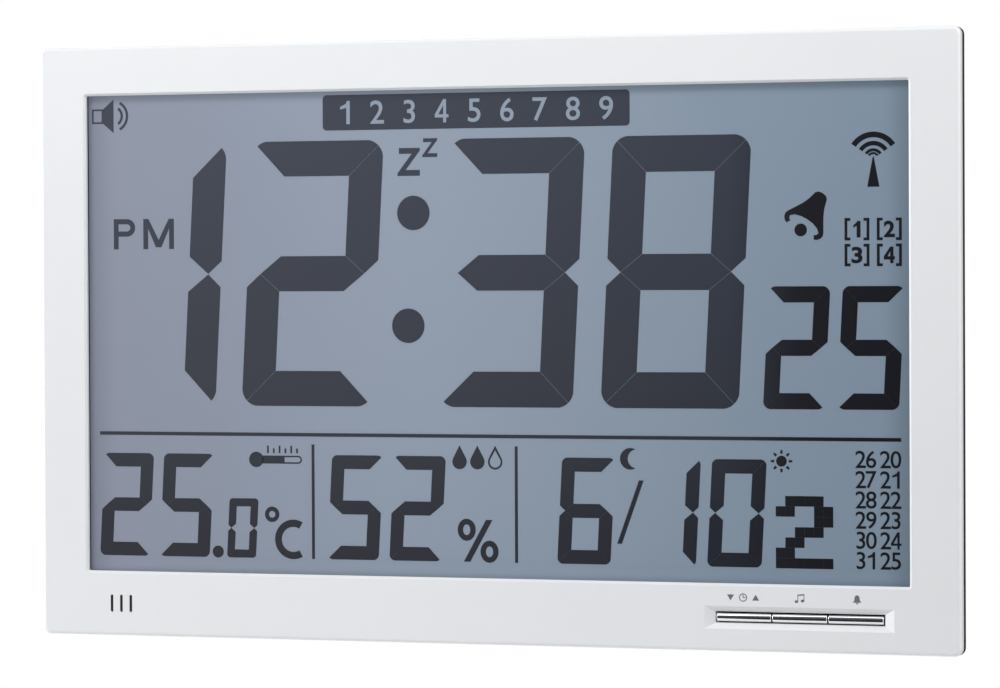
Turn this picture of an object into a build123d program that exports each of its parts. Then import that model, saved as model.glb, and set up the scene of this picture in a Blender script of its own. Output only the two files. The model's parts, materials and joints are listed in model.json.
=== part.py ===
# A wall clock with a large liquid crystal display, a white border and a black back.
# Frame: +X is to the right as the clock is read, +Z is up and -Y points into the room.
# The origin is the middle of the flat back, on the wall. All sizes are in millimetres.
# The figures of the display set the window, the window and its border set the case,
# and the layers from the front wall to the battery door set the depth.
import os
from math import sqrt

from build123d import *

os.makedirs("parts", exist_ok=True)

# Figures of the display: seven bars that lean to the right
LEAN = 0.053
HAIRLINE = 0.13
FINE_HAIRLINE = 0.04
TIP_SHARE = 0.4
NOTCH_SHARE = 0.37
FIGURE_T = 0.1
BIG_H = 105.6
BIG_W = 55.7
BIG_STROKE = 14.1
BIG_CORNER = 7.0
SECONDS_H = 47.1
SECONDS_W = 24.25
SECONDS_STROKE = 6.2
SECONDS_CORNER = 3.0
LOW_H = 41.5
LOW_W = 21.75
LOW_STROKE = 5.5
LOW_CORNER = 2.4
TENTH_H = 23.8
TENTH_W = 12.5
TENTH_STROKE = 3.25
TENTH_CORNER = 1.5

# Columns of the display, from the left edge of the window to the right
INSET_LEFT = 1.8
BIG_GAP = 11.3
COLON_GAP = 27.8
SECONDS_SPLIT = 8.1
SECONDS_GAP = 4.9
INSET_RIGHT = 3.5
COLON_R = 6.8
COLON_PITCH = 44.5
COLON_LIFT = 1.5

# Rows of the display, from the top edge of the window down
INSET_TOP = 1.4
BANNER_W = 127.4
BANNER_H = 14.0
BANNER_CORNER = 1.6
BANNER_SHIFT = -4.8
BANNER_DROP = 4.0
RULE_DROP = 10.65
RULE_T = 1.4
RULE_INSET = 4.0
LOW_DROP = 7.3
INSET_BOTTOM = 6.15

# Lower row of the display: each gap is measured from what stands to its left
TEMPERATURE_X = 4.85
LOW_GAP = 4.5
POINT_GAP = 2.65
POINT_RISE = 2.25
POINT_R = 2.4
TENTH_GAP = 4.45
TENTH_ROOM = 24.1
HUMIDITY_GAP = 7.05
HUMIDITY_ROOM = 30.3
MONTH_GAP = 17.8
SLASH_GAP = 2.65
SLASH_RUN = 8.9
SLASH_FOOT = 8.2
SLASH_H = 24.7
SLASH_T = 1.9
DAY_GAP = 1.2
COLUMN_RULE_T = 1.2
COLUMN_RULE_DROP = 3.15

# Layers, from the front wall to the battery door on the wall
FRONT_WALL = 2.2
GASKET_T = 1.8
POLARISER_T = 0.25
GLASS_T = 1.1
FOIL_T = 0.25
LIP_T = 2.1
PCB_T = 1.6
PCB_ROOM = 1.0
BOX_FLOOR = 1.7
CELL_D = 14.5
CELL_ROOM = 0.4
DOOR_T = 2.0

# Case shells and the screws that join them
SIDE_WALL = 2.2
LID_WALL = 2.2
BEZEL_SIDE = 4.0
BAND = 3.6
CASE_CORNER = 3.0
INNER_CORNER = 0.8
BACK_CORNER = 6.0
FRONT_ROUND = 1.5
WINDOW_CORNER = 0.6
WINDOW_CHAMFER = 0.9
SEAM_FIT = 0.3
TONGUE_T = 1.4
TONGUE_H = 1.4
GLASS_LAP = 5.0
RETAINER_FIT = 0.3
RETAINER_WALL = 2.2
POST_GAP = 0.4
WELL_R = 3.1
WELL_WALL = 1.4
WELL_SEAT = 2.0
BOSS_R = 3.3
CHIN = 6.0
SCREW_HEAD_R = 2.75
SCREW_HEAD_T = 1.8
SCREW_R = 1.5
SCREW_BITE = 4.6
SMALL_HEAD_R = 2.0
SMALL_HEAD_T = 1.2
SMALL_SCREW_R = 1.0
SMALL_BOSS_R = 2.3
RECESS_L = 0.6
RECESS_W = 0.16
PILOT_FIT = 0.05
HOLE_FIT = 0.3

# Buttons under the display
BAR_L = 21.6
BAR_H = 3.3
BAR_GAP = 0.46
BAR_CROWN = 0.9
BAR_PROUD = 0.9
BAR_END_ROUND = 0.3
BAR_FIT = 0.55
POCKET_FLARE = 2.2
POCKET_FLARE_ENDS = 3.95
POCKET_D = 2.0
COLLAR_WALL = 1.6
COLLAR_T = 2.3
FLANGE_LAP = 0.9
FLANGE_T = 1.0
KEYS_FROM_EDGE = 63.3
PLUNGER_R = 1.6
PLUNGER_OUT = 0.6
PLUNGER_IN = 0.6
PLUNGER_FIT = 0.08
KEY_TRAVEL = 0.5
TACT_W = 6.0
TACT_T = 2.5
KEY_PCB_H = 9.6
KEY_PCB_END = 8.0
KEY_SCREW_END = 4.0
RIBBON_W = 8.0
RIBBON_T = 0.3
RIBBON_R = 4.0

# Air sensor behind three slots at the lower left
SLOT_COUNT = 3
SLOT_L = 7.1
SLOT_W = 1.15
SLOT_WALL = 0.6
FILTER_T = 1.2
FILTER_FIT = 0.1
SHROUD_FIT = 0.1
SLOT_PITCH = 4.14
SENSOR_FROM_EDGE = 34.7
SHROUD_T = 1.2
SHROUD_L = 3.8
SHROUD_ROOM = 1.0
SENSOR_PCB_T = 1.2
SENSOR_PCB_H = 9.0
SENSOR_CHIP = 4.0
SENSOR_CHIP_T = 1.3
SENSOR_TAIL = 9.0

# Display glass, its contact strip and the board behind it
LEDGE = 4.5
STRIP_W = 3.0
STRIP_FIT = 0.3
STRIP_INSET = 1.0
GASKET_INSET = 0.3
GASKET_LAP = 4.0
LIP_W = 9.5
RAIL_W = 6.0
EAR_R = 3.0
EAR_T = 2.0
EAR_DROP = 3.3
EAR_SPACING = 120.0
PCB_INSET = 10.0
PCB_H = 54.0
PCB_LIFT = 0.2
PCB_SCREW_INSET = 8.0
GLOB_R = 9.0
GLOB_T = 2.2
GLOB_ROUND = 1.9
GLOB_X = -95.0
CRYSTAL_R = 1.6
CRYSTAL_L = 8.0
CRYSTAL_X = -76.0
CAPACITOR_R = 3.2
CAPACITOR_T = 8.0
CAPACITOR_PITCH = 9.0
CAPACITOR_X = -125.0
PART_FIT = 0.1
PLUG_W = 6.0
PLUG_H = 9.0
PLUG_T = 5.0
BATTERY_PLUG_GAP = 18.0
SPEAKER_PLUG_SHIFT = 17.0
AERIAL_PLUG_GAP = 20.0
SENSOR_PLUG_INSET = 20.0
LEAD_R = 0.8
LEAD_BEND = 2.5

# Battery box for two rows of two AA cells, and its sliding door
CELL_L = 50.5
NUB_R = 2.6
NUB_L = 1.2
CELL_ROUND = 0.6
CELL_SPLIT = 1.0
CELL_FIT = 0.5
PLATE_T = 0.4
PLATE_W = 11.0
LEAF_D = 4.6
LEAF_W = 7.0
BOX_WALL = 1.7
BOX_FOOT = 6.5
PAD_T = 2.2
DOOR_LAP = 4.0
DOOR_TOP = 5.0
DOOR_TONGUE = 1.5
DOOR_TONGUE_T = 0.9
DOOR_FIT = 0.3
DOOR_LIFT = 0.2
GRIP_COUNT = 5
GRIP_L = 26.0
GRIP_W = 1.0
GRIP_PITCH = 2.2
GRIP_D = 0.5
GRIP_DROP = 9.0
ARROW_W = 10.0
ARROW_H = 6.0
ARROW_DROP = 18.0

# Fittings in the back: plate recess, hanging holes, speaker, aerial and reset button
PLATE_RECESS_W = 84.0
PLATE_RECESS_H = 40.0
PLATE_RECESS_CORNER = 3.0
PLATE_RECESS_D = 0.3
PLATE_RECESS_X = -78.0
PLATE_RECESS_Z = -6.0
KEYHOLE_SPACING = 200.0
KEYHOLE_DROP = 26.6
KEYHOLE_R = 4.5
KEYHOLE_SLOT_R = 2.2
KEYHOLE_RISE = 9.5
KEYHOLE_ROOM = 2.0
KEYHOLE_POCKET_D = 5.5
KEYHOLE_WALL = 1.5
SPEAKER_X = 105.0
SPEAKER_Z = 15.0
SPEAKER_R = 20.0
SPEAKER_RIM = 3.0
SPEAKER_RIM_T = 1.2
SPEAKER_D = 6.0
SPEAKER_NECK_R = 10.0
SPEAKER_WALL = 1.0
CONE_T = 0.4
CONE_FIT = 0.2
CONE_NECK_R = 5.0
CONE_D = 4.2
CONE_DOME = 1.0
MAGNET_R = 9.5
MAGNET_T = 4.6
GRILLE_HOLE_R = 1.1
GRILLE_PITCH = 4.4
GRILLE_RINGS = 3
ROD_R = 4.0
ROD_L = 70.0
ROD_X = -40.0
ROD_DROP = 21.0
ROD_DEPTH = 9.0
ROD_FIT = 0.05
CRADLE_T = 4.0
CRADLE_WALL = 2.0
CRADLE_INSET = 7.0
COIL_T = 1.9
COIL_L = 26.0
COIL_FIT = 0.1
RESET_X = 110.0
RESET_R = 1.8
RESET_FIT = 0.08
RESET_SUNK = 0.4
RESET_FLANGE = 1.1
RESET_FLANGE_T = 1.2
RESET_SWITCH_T = 3.6
RESET_PLUNGER_R = 1.5
RESET_PLUNGER_OUT = 0.7
RESET_PLUNGER_IN = 0.6
RESET_TRAVEL = 0.6
SWITCH_SPARE = 0.3

# Window, border and case, worked out from the display
WINDOW_W = (INSET_LEFT + 4 * BIG_W + 2 * BIG_GAP + COLON_GAP + SECONDS_SPLIT
            + 2 * SECONDS_W + SECONDS_GAP + INSET_RIGHT)
WINDOW_H = (INSET_TOP + BANNER_H + BANNER_DROP + BIG_H + RULE_DROP + RULE_T
            + LOW_DROP + LOW_H + INSET_BOTTOM)
POST_R = WELL_R + WELL_WALL
RIM_INSET = SIDE_WALL + SEAM_FIT + TONGUE_T
SCREW_INSET = RIM_INSET + POST_GAP + BOSS_R
BORDER = GLASS_LAP + RETAINER_FIT + RETAINER_WALL + POST_GAP + POST_R + SCREW_INSET
CASE_W = WINDOW_W + 2 * BORDER
CASE_H = WINDOW_H + 2 * BORDER + CHIN
WINDOW_Z = CHIN / 2
GLASS_W = WINDOW_W + 2 * GLASS_LAP
GLASS_H = WINDOW_H + 2 * GLASS_LAP
GLASS_FOOT = WINDOW_Z - GLASS_H / 2
RETAINER_W = GLASS_W + 2 * (RETAINER_FIT + RETAINER_WALL)
RETAINER_H = GLASS_H + 2 * (RETAINER_FIT + RETAINER_WALL)
RETAINER_FOOT = WINDOW_Z - RETAINER_H / 2

# Depths: y of each layer, with 0 on the wall and the front of the case most negative
CELL_Y = -DOOR_T - CELL_ROOM - CELL_D / 2
BOX_FLOOR_Y = -DOOR_T - CELL_ROOM - CELL_D
BOX_BACK_Y = BOX_FLOOR_Y - BOX_FLOOR
PCB_REAR_Y = BOX_BACK_Y - PCB_ROOM
PCB_Y = PCB_REAR_Y - PCB_T
FOIL_REAR_Y = PCB_Y - LIP_T
REAR_GLASS_Y = FOIL_REAR_Y - FOIL_T - GLASS_T
FRONT_GLASS_Y = REAR_GLASS_Y - GLASS_T
LCD_Y = FRONT_GLASS_Y - POLARISER_T
WALL_Y = LCD_Y - GASKET_T
FRONT_Y = WALL_Y - FRONT_WALL
CASE_D = -FRONT_Y
SEAM_Y = FRONT_Y + BEZEL_SIDE
BAND_Y = SEAM_Y + BAND
LID_Y = -LID_WALL

# The back slopes in at 45 degrees from the black band to the flat that lies on the wall
SLOPE = -BAND_Y
SLANT_WALL = LID_WALL * sqrt(2)
BACK_W = CASE_W - 2 * SLOPE
BACK_H = CASE_H - 2 * SLOPE
BACK_FOOT = -BACK_H / 2
RIM_Y = RIM_INSET - SLOPE - SLANT_WALL
LID_INSET = SLOPE + SLANT_WALL - LID_WALL

# Places of the screws that hold the back
SCREW_X = CASE_W / 2 - SCREW_INSET
SCREW_Z = CASE_H / 2 - SCREW_INSET
COVER_SCREWS = [(x, z) for x in (-SCREW_X, 0, SCREW_X) for z in (-SCREW_Z, 0, SCREW_Z) if x or z]
BOSS_Y = PCB_Y - POST_GAP - POST_GAP
SEAT_Y = BOSS_Y + WELL_SEAT

# Places of the display's retaining frame and its screws
EAR_X = RETAINER_W / 2 + EAR_R
EAR_Y = WALL_Y + EAR_DROP
EARS = [(x, WINDOW_Z + z) for x in (-EAR_X, EAR_X) for z in (-EAR_SPACING / 2, EAR_SPACING / 2)]

# Places on the main board
PCB_W = WINDOW_W - 2 * PCB_INSET
PCB_FOOT = RETAINER_FOOT + PCB_LIFT
PCB_TOP = PCB_FOOT + PCB_H
PCB_Z = (PCB_FOOT + PCB_TOP) / 2
STRIP_Z = GLASS_FOOT + LEDGE / 2
STRIP_L = PCB_W - 2 * STRIP_INSET
LIP_EDGE = GLASS_FOOT - RETAINER_FIT + LIP_W
PCB_SCREW_X = PCB_W / 2 - PCB_SCREW_INSET
LOWER_SCREW_Z = (STRIP_Z + STRIP_W / 2 + STRIP_FIT + LIP_EDGE) / 2
RAIL_Z = PCB_TOP - RAIL_W / 2
PCB_SCREWS = [(x, z) for x in (-PCB_SCREW_X, PCB_SCREW_X) for z in (LOWER_SCREW_Z, RAIL_Z)]

# Places of the buttons and their switches
KEYS_X = CASE_W / 2 - KEYS_FROM_EDGE
KEYS_Z = -CASE_H / 2 + (BORDER + CHIN) / 2
KEY_PITCH = BAR_L + BAR_GAP
ROW_L = 3 * BAR_L + 2 * BAR_GAP
KEY_SLOT_W = ROW_L + 2 * BAR_FIT
KEY_SLOT_H = BAR_H + 2 * BAR_FIT
POCKET_Y = FRONT_Y + POCKET_D
COLLAR_Y = WALL_Y + COLLAR_T
FLANGE_Y = COLLAR_Y + FLANGE_T
TACT_Y = FLANGE_Y + PLUNGER_OUT
KEY_PCB_Y = TACT_Y + TACT_T
KEY_PCB_REAR_Y = KEY_PCB_Y + PCB_T
KEY_PCB_W = ROW_L + 2 * KEY_PCB_END
KEY_SCREWS = [(KEYS_X + side * (KEY_PCB_W / 2 - KEY_SCREW_END), KEYS_Z) for side in (-1, 1)]

# Places of the air sensor
SENSOR_X = -CASE_W / 2 + SENSOR_FROM_EDGE
SENSOR_Z = KEYS_Z
SHROUD_W = SLOT_PITCH * (SLOT_COUNT - 1) + SLOT_W + 2 * (SHROUD_ROOM + SHROUD_T)
SHROUD_H = SENSOR_PCB_H
SENSOR_PCB_Y = WALL_Y + SHROUD_L
SLOT_REAR_Y = FRONT_Y + SLOT_WALL
SENSOR_PCB_REAR_Y = SENSOR_PCB_Y + SENSOR_PCB_T
SENSOR_SCREW_X = SENSOR_X + SHROUD_W / 2 + SENSOR_TAIL / 2

# Places of the battery box and its door
BOX_L = 2 * CELL_L + PLATE_T + LEAF_D
BOX_H = 2 * CELL_D + CELL_SPLIT + 2 * CELL_FIT
BOX_Z = BACK_FOOT + BOX_FOOT + BOX_H / 2
ROW_RISE = (CELL_D + CELL_SPLIT) / 2
DOOR_W = BOX_L + 2 * DOOR_LAP
DOOR_TOP_Z = BOX_Z + BOX_H / 2 + DOOR_TOP
TONGUE_W = DOOR_W + 2 * DOOR_TONGUE
DOOR_STEP_Y = -DOOR_T + DOOR_TONGUE_T
LIP_UNDER_Y = DOOR_STEP_Y + DOOR_LIFT

# Places of the fittings in the back
KEYHOLE_Z = BACK_H / 2 - KEYHOLE_DROP
ROD_Z = BACK_H / 2 - ROD_DROP
RESET_Z = PCB_Z
RIM_Y_SPEAKER = LID_Y - SPEAKER_RIM_T
BASKET_Y = RIM_Y_SPEAKER - SPEAKER_D
SPEAKER_SCREW_PCR = SPEAKER_R + SMALL_BOSS_R + PART_FIT
RESET_SWITCH_Y = PCB_REAR_Y + RESET_SWITCH_T
STEM_END_Y = RESET_SWITCH_Y + RESET_PLUNGER_OUT
PLUG_Y = PCB_REAR_Y + PLUG_T
BATTERY_PLUG = (BOX_L / 2 + BOX_WALL + BATTERY_PLUG_GAP, BOX_Z)
SPEAKER_PLUG = (SPEAKER_X - SPEAKER_PLUG_SHIFT, PCB_TOP - PLUG_H)
AERIAL_PLUG = (GLOB_X + AERIAL_PLUG_GAP, PCB_TOP - PLUG_H)
SENSOR_PLUG = (-PCB_W / 2 + SENSOR_PLUG_INSET, PCB_FOOT + PLUG_H)


def facing_front(y, x=0.0, z=0.0):
    """A sketch plane at depth y that faces the room: its x is to the right and its y is up."""
    return Plane(origin=(x, y, z), x_dir=(1, 0, 0), z_dir=(0, -1, 0))


def pan_screw(head_r, head_t, shank_r, shank_l):
    """A cross-recessed screw: its head lies behind the origin and its shank points to the front."""
    with BuildPart() as screw:
        with BuildSketch(facing_front(0)):
            Circle(head_r)
        extrude(amount=-head_t)
        fillet(screw.faces().sort_by(Axis.Y)[-1].edges(), head_t / 2)
        with BuildSketch(facing_front(0)):
            Circle(shank_r)
        extrude(amount=shank_l)
        with BuildSketch(facing_front(head_t)):
            Rectangle(2 * RECESS_L * head_r, 2 * RECESS_W * head_r)
            Rectangle(2 * RECESS_W * head_r, 2 * RECESS_L * head_r)
        extrude(amount=head_t / 2, mode=Mode.SUBTRACT)
    return screw.part


def lean_over(points):
    """Points of an upright figure, moved sideways so that it leans to the right."""
    return [(x + LEAN * z, z) for x, z in points]


def bar_corners(name, width, height, stroke):
    """Corners of one bar of an upright seven-bar figure: a is the top, then clockwise, g the middle."""
    side = width / 2
    inner = side - stroke
    top = height / 2
    under = top - stroke
    half = stroke / 2
    tip = side - TIP_SHARE * stroke
    notch = NOTCH_SHARE * stroke
    lid = [(-side, top), (side, top), (inner, under), (-inner, under)]
    upright = [(side, top), (side, notch), (tip, 0), (inner, half), (inner, under)]
    middle = [(-tip, 0), (-inner, half), (inner, half), (tip, 0), (inner, -half), (-inner, -half)]
    shape, flip_x, flip_z = {
        "a": (lid, 1, 1),
        "b": (upright, 1, 1),
        "c": (upright, 1, -1),
        "d": (lid, 1, -1),
        "e": (upright, -1, -1),
        "f": (upright, -1, 1),
        "g": (middle, 1, 1),
    }[name]
    return [(flip_x * x, flip_z * z) for x, z in shape]


LIT_BARS = {
    "0": "abcdef",
    "1": "bc",
    "2": "abged",
    "3": "abgcd",
    "5": "afgcd",
    "6": "afgcde",
    "8": "abcdefg",
}


def figure(digit, width, height, stroke, corner, gap):
    """One leaning seven-bar figure about its centre, with hairline gaps and rounded outer corners."""
    side = width / 2
    top = height / 2
    with BuildSketch() as drawn:
        for name in LIT_BARS[digit]:
            with BuildSketch() as bar:
                Polygon(*lean_over(bar_corners(name, width, height, stroke)), align=None)
                offset(bar.sketch, amount=-gap / 2, kind=Kind.INTERSECTION, mode=Mode.REPLACE)
        with BuildSketch(mode=Mode.INTERSECT) as outline:
            Polygon(*lean_over([(-side, -top), (side, -top), (side, top), (-side, top)]), align=None)
            fillet(outline.vertices(), corner)
    return drawn.sketch


def lead(points):
    """A round lead along straight runs and bends, from the first point to the last."""
    with BuildPart() as wire:
        with BuildLine() as route:
            FilletPolyline(*points, radius=LEAD_BEND)
        with BuildSketch(Plane(origin=route.line @ 0, z_dir=route.line % 0)):
            Circle(LEAD_R)
        sweep()
    return wire.part


def keep(piece, name):
    """Label a finished piece and write it to its own file."""
    piece.part.label = name
    export_step(piece.part, f"parts/{name}.step")


# Front bezel: the white border with its window, button pocket, sensor slots and screw bosses
with BuildPart() as front_bezel:
    with BuildSketch(facing_front(FRONT_Y)):
        RectangleRounded(CASE_W, CASE_H, CASE_CORNER)
    extrude(amount=-BEZEL_SIDE)
    fillet(front_bezel.faces().sort_by(Axis.Y)[0].edges(), FRONT_ROUND)
    with BuildSketch(facing_front(SEAM_Y)):
        RectangleRounded(CASE_W - 2 * SIDE_WALL, CASE_H - 2 * SIDE_WALL, INNER_CORNER)
    extrude(amount=BEZEL_SIDE - FRONT_WALL, mode=Mode.SUBTRACT)
    with BuildSketch(facing_front(FRONT_Y, 0, WINDOW_Z)):
        RectangleRounded(WINDOW_W, WINDOW_H, WINDOW_CORNER)
    extrude(amount=-FRONT_WALL, mode=Mode.SUBTRACT)
    window_rim = front_bezel.faces().sort_by(Axis.Y)[0].inner_wires()[0]
    chamfer(window_rim.edges(), WINDOW_CHAMFER)
    with BuildSketch(facing_front(WALL_Y, KEYS_X, KEYS_Z)):
        Rectangle(KEY_SLOT_W + 2 * COLLAR_WALL, KEY_SLOT_H + 2 * COLLAR_WALL)
    extrude(amount=-COLLAR_T)
    with BuildSketch(facing_front(FRONT_Y, KEYS_X, KEYS_Z)):
        Rectangle(KEY_SLOT_W + 2 * POCKET_FLARE_ENDS, KEY_SLOT_H + 2 * POCKET_FLARE)
    with BuildSketch(facing_front(POCKET_Y, KEYS_X, KEYS_Z)):
        Rectangle(KEY_SLOT_W, KEY_SLOT_H)
    loft(ruled=True, mode=Mode.SUBTRACT)
    with BuildSketch(facing_front(POCKET_Y, KEYS_X, KEYS_Z)):
        Rectangle(KEY_SLOT_W, KEY_SLOT_H)
    extrude(amount=POCKET_Y - COLLAR_Y, mode=Mode.SUBTRACT)
    with BuildSketch(facing_front(FRONT_Y, SENSOR_X, SENSOR_Z)):
        with GridLocations(SLOT_PITCH, 0, SLOT_COUNT, 1):
            SlotOverall(SLOT_L, SLOT_W, rotation=90)
    extrude(amount=-FRONT_WALL, mode=Mode.SUBTRACT)
    with BuildSketch(facing_front(WALL_Y, SENSOR_X, SENSOR_Z)):
        Rectangle(SHROUD_W + 2 * SHROUD_FIT, SHROUD_H + 2 * SHROUD_FIT)
    extrude(amount=FRONT_WALL - SLOT_WALL, mode=Mode.SUBTRACT)
    with BuildSketch(facing_front(WALL_Y)):
        with Locations(*COVER_SCREWS):
            Circle(BOSS_R)
    extrude(amount=WALL_Y - BOSS_Y)
    with BuildSketch(facing_front(BOSS_Y)):
        with Locations(*COVER_SCREWS):
            Circle(SCREW_R + PILOT_FIT)
    extrude(amount=SCREW_BITE, mode=Mode.SUBTRACT)
    with BuildSketch(facing_front(WALL_Y)):
        with Locations(*EARS):
            Circle(SMALL_BOSS_R)
    extrude(amount=WALL_Y - EAR_Y)
    with BuildSketch(facing_front(WALL_Y)):
        with Locations(*KEY_SCREWS):
            Circle(SMALL_BOSS_R)
    extrude(amount=WALL_Y - KEY_PCB_Y)
    with BuildSketch(facing_front(WALL_Y)):
        with Locations((SENSOR_SCREW_X, SENSOR_Z)):
            Circle(SMALL_BOSS_R)
    extrude(amount=WALL_Y - SENSOR_PCB_Y)
    with BuildSketch(facing_front(WALL_Y)):
        with Locations(*EARS, *KEY_SCREWS, (SENSOR_SCREW_X, SENSOR_Z)):
            Circle(SMALL_SCREW_R + PILOT_FIT)
    extrude(amount=WALL_Y - KEY_PCB_Y, mode=Mode.SUBTRACT)
keep(front_bezel, "front_bezel")

# Gasket: the black seal between the border and the display
with BuildPart() as window_gasket:
    with BuildSketch(facing_front(WALL_Y, 0, WINDOW_Z)):
        Rectangle(WINDOW_W + 2 * GASKET_LAP, WINDOW_H + 2 * GASKET_LAP)
        Rectangle(WINDOW_W + 2 * GASKET_INSET, WINDOW_H + 2 * GASKET_INSET, mode=Mode.SUBTRACT)
    extrude(amount=-GASKET_T)
keep(window_gasket, "window_gasket")

# Display: front polariser, two panes of glass with a contact ledge, and a silvered foil
with BuildPart() as lcd_polariser:
    with BuildSketch(facing_front(LCD_Y, 0, WINDOW_Z)):
        Rectangle(WINDOW_W + 2 * GASKET_LAP, WINDOW_H + 2 * GASKET_LAP)
    extrude(amount=-POLARISER_T)
keep(lcd_polariser, "lcd_polariser")

with BuildPart() as lcd_front_glass:
    with BuildSketch(facing_front(FRONT_GLASS_Y, 0, WINDOW_Z)):
        Rectangle(GLASS_W, GLASS_H)
    extrude(amount=-GLASS_T)
keep(lcd_front_glass, "lcd_front_glass")

with BuildPart() as lcd_rear_glass:
    with BuildSketch(facing_front(REAR_GLASS_Y, 0, WINDOW_Z + LEDGE / 2)):
        Rectangle(GLASS_W, GLASS_H - LEDGE)
    extrude(amount=-GLASS_T)
keep(lcd_rear_glass, "lcd_rear_glass")

with BuildPart() as lcd_reflector:
    with BuildSketch(facing_front(FOIL_REAR_Y, 0, WINDOW_Z + LEDGE / 2)):
        Rectangle(GLASS_W, GLASS_H - LEDGE)
    extrude(amount=FOIL_T)
keep(lcd_reflector, "lcd_reflector")

# Retaining frame: holds the glass against the gasket and carries the main board
with BuildPart() as lcd_retainer:
    with BuildSketch(facing_front(WALL_Y, 0, WINDOW_Z)):
        Rectangle(RETAINER_W, RETAINER_H)
        Rectangle(GLASS_W + 2 * RETAINER_FIT, GLASS_H + 2 * RETAINER_FIT, mode=Mode.SUBTRACT)
    extrude(amount=WALL_Y - PCB_Y)
    with BuildSketch(facing_front(PCB_Y, 0, WINDOW_Z)):
        Rectangle(RETAINER_W, RETAINER_H)
        Rectangle(GLASS_W + 2 * RETAINER_FIT - 2 * LIP_W, GLASS_H + 2 * RETAINER_FIT - 2 * LIP_W,
                  mode=Mode.SUBTRACT)
    extrude(amount=LIP_T)
    with BuildSketch(facing_front(PCB_Y, 0, RAIL_Z)):
        Rectangle(RETAINER_W, RAIL_W)
    extrude(amount=LIP_T)
    with BuildSketch(facing_front(EAR_Y)):
        for x, z in EARS:
            with Locations((x, z)):
                Circle(EAR_R)
            with Locations((x - EAR_R / 2 if x > 0 else x + EAR_R / 2, z)):
                Rectangle(EAR_R, 2 * EAR_R)
    extrude(amount=-EAR_T)
    with BuildSketch(facing_front(EAR_Y)):
        with Locations(*EARS):
            Circle(SMALL_SCREW_R + HOLE_FIT)
    extrude(amount=-EAR_T, mode=Mode.SUBTRACT)
    with BuildSketch(facing_front(PCB_Y, 0, STRIP_Z)):
        Rectangle(STRIP_L + 2 * STRIP_FIT, STRIP_W + 2 * STRIP_FIT)
    extrude(amount=LIP_T, mode=Mode.SUBTRACT)
    with BuildSketch(facing_front(PCB_Y)):
        with Locations(*PCB_SCREWS):
            Circle(SMALL_SCREW_R + PILOT_FIT)
    extrude(amount=LIP_T, mode=Mode.SUBTRACT)
keep(lcd_retainer, "lcd_retainer")

retainer_screw = pan_screw(SMALL_HEAD_R, SMALL_HEAD_T, SMALL_SCREW_R, EAR_T + EAR_DROP)
with BuildPart() as retainer_screws:
    with Locations(*[(x, EAR_Y + EAR_T, z) for x, z in EARS]):
        add(retainer_screw)
keep(retainer_screws, "retainer_screws")

# Contact strip: the rubber strip that joins the glass ledge to the board
with BuildPart() as zebra_strip:
    with BuildSketch(facing_front(PCB_Y, 0, STRIP_Z)):
        Rectangle(STRIP_L, STRIP_W)
    extrude(amount=PCB_Y - REAR_GLASS_Y)
keep(zebra_strip, "zebra_strip")

# Figures that the display shows, drawn about the middle of the window
DISPLAY = facing_front(LCD_Y, 0, WINDOW_Z)
LEFT = -WINDOW_W / 2
BANNER_Z = WINDOW_H / 2 - INSET_TOP - BANNER_H / 2
BIG_Z = BANNER_Z - BANNER_H / 2 - BANNER_DROP - BIG_H / 2
BIG_FOOT = BIG_Z - BIG_H / 2
RULE_Z = BIG_FOOT - RULE_DROP - RULE_T / 2
LOW_Z = RULE_Z - RULE_T / 2 - LOW_DROP - LOW_H / 2
LOW_FOOT = LOW_Z - LOW_H / 2
HOUR_X = LEFT + INSET_LEFT + BIG_W / 2
COLON_X = HOUR_X + 1.5 * BIG_W + BIG_GAP + COLON_GAP / 2
MINUTE_X = COLON_X + COLON_GAP / 2 + BIG_W / 2
SECOND_X = MINUTE_X + 1.5 * BIG_W + BIG_GAP + SECONDS_SPLIT + SECONDS_W / 2
BIG_PITCH = BIG_W + BIG_GAP
LOW_PITCH = LOW_W + LOW_GAP
LOW_PAIR = LOW_PITCH + LOW_W
POINT_X = TEMPERATURE_X + LOW_PAIR + POINT_GAP
TENTH_X = POINT_X + TENTH_GAP
FIRST_RULE_X = TENTH_X + TENTH_W + TENTH_ROOM
HUMIDITY_X = FIRST_RULE_X + HUMIDITY_GAP
SECOND_RULE_X = HUMIDITY_X + LOW_PAIR + HUMIDITY_ROOM
MONTH_X = SECOND_RULE_X + MONTH_GAP
SLASH_X = MONTH_X + LOW_W + SLASH_GAP
DAY_X = SLASH_X + SLASH_RUN + DAY_GAP


def low_figures(text, first_x):
    """Figures of the lower row and their places, from the left edge of the first one."""
    middle = LEFT + first_x + LOW_W / 2
    return [(digit, middle + place * LOW_PITCH) for place, digit in enumerate(text)]


with BuildPart() as hour_minute_digits:
    with BuildSketch(DISPLAY):
        hours = [("1", HOUR_X), ("2", HOUR_X + BIG_PITCH)]
        minutes = [("3", MINUTE_X), ("8", MINUTE_X + BIG_PITCH)]
        for digit, x in hours + minutes:
            with Locations((x, BIG_Z)):
                add(figure(digit, BIG_W, BIG_H, BIG_STROKE, BIG_CORNER, HAIRLINE))
    extrude(amount=FIGURE_T)
keep(hour_minute_digits, "hour_minute_digits")

with BuildPart() as colon_dots:
    with BuildSketch(DISPLAY):
        for rise in (-COLON_PITCH / 2, COLON_PITCH / 2):
            with Locations((COLON_X + LEAN * rise, BIG_Z + COLON_LIFT + rise)):
                Circle(COLON_R)
    extrude(amount=FIGURE_T)
keep(colon_dots, "colon_dots")

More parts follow.
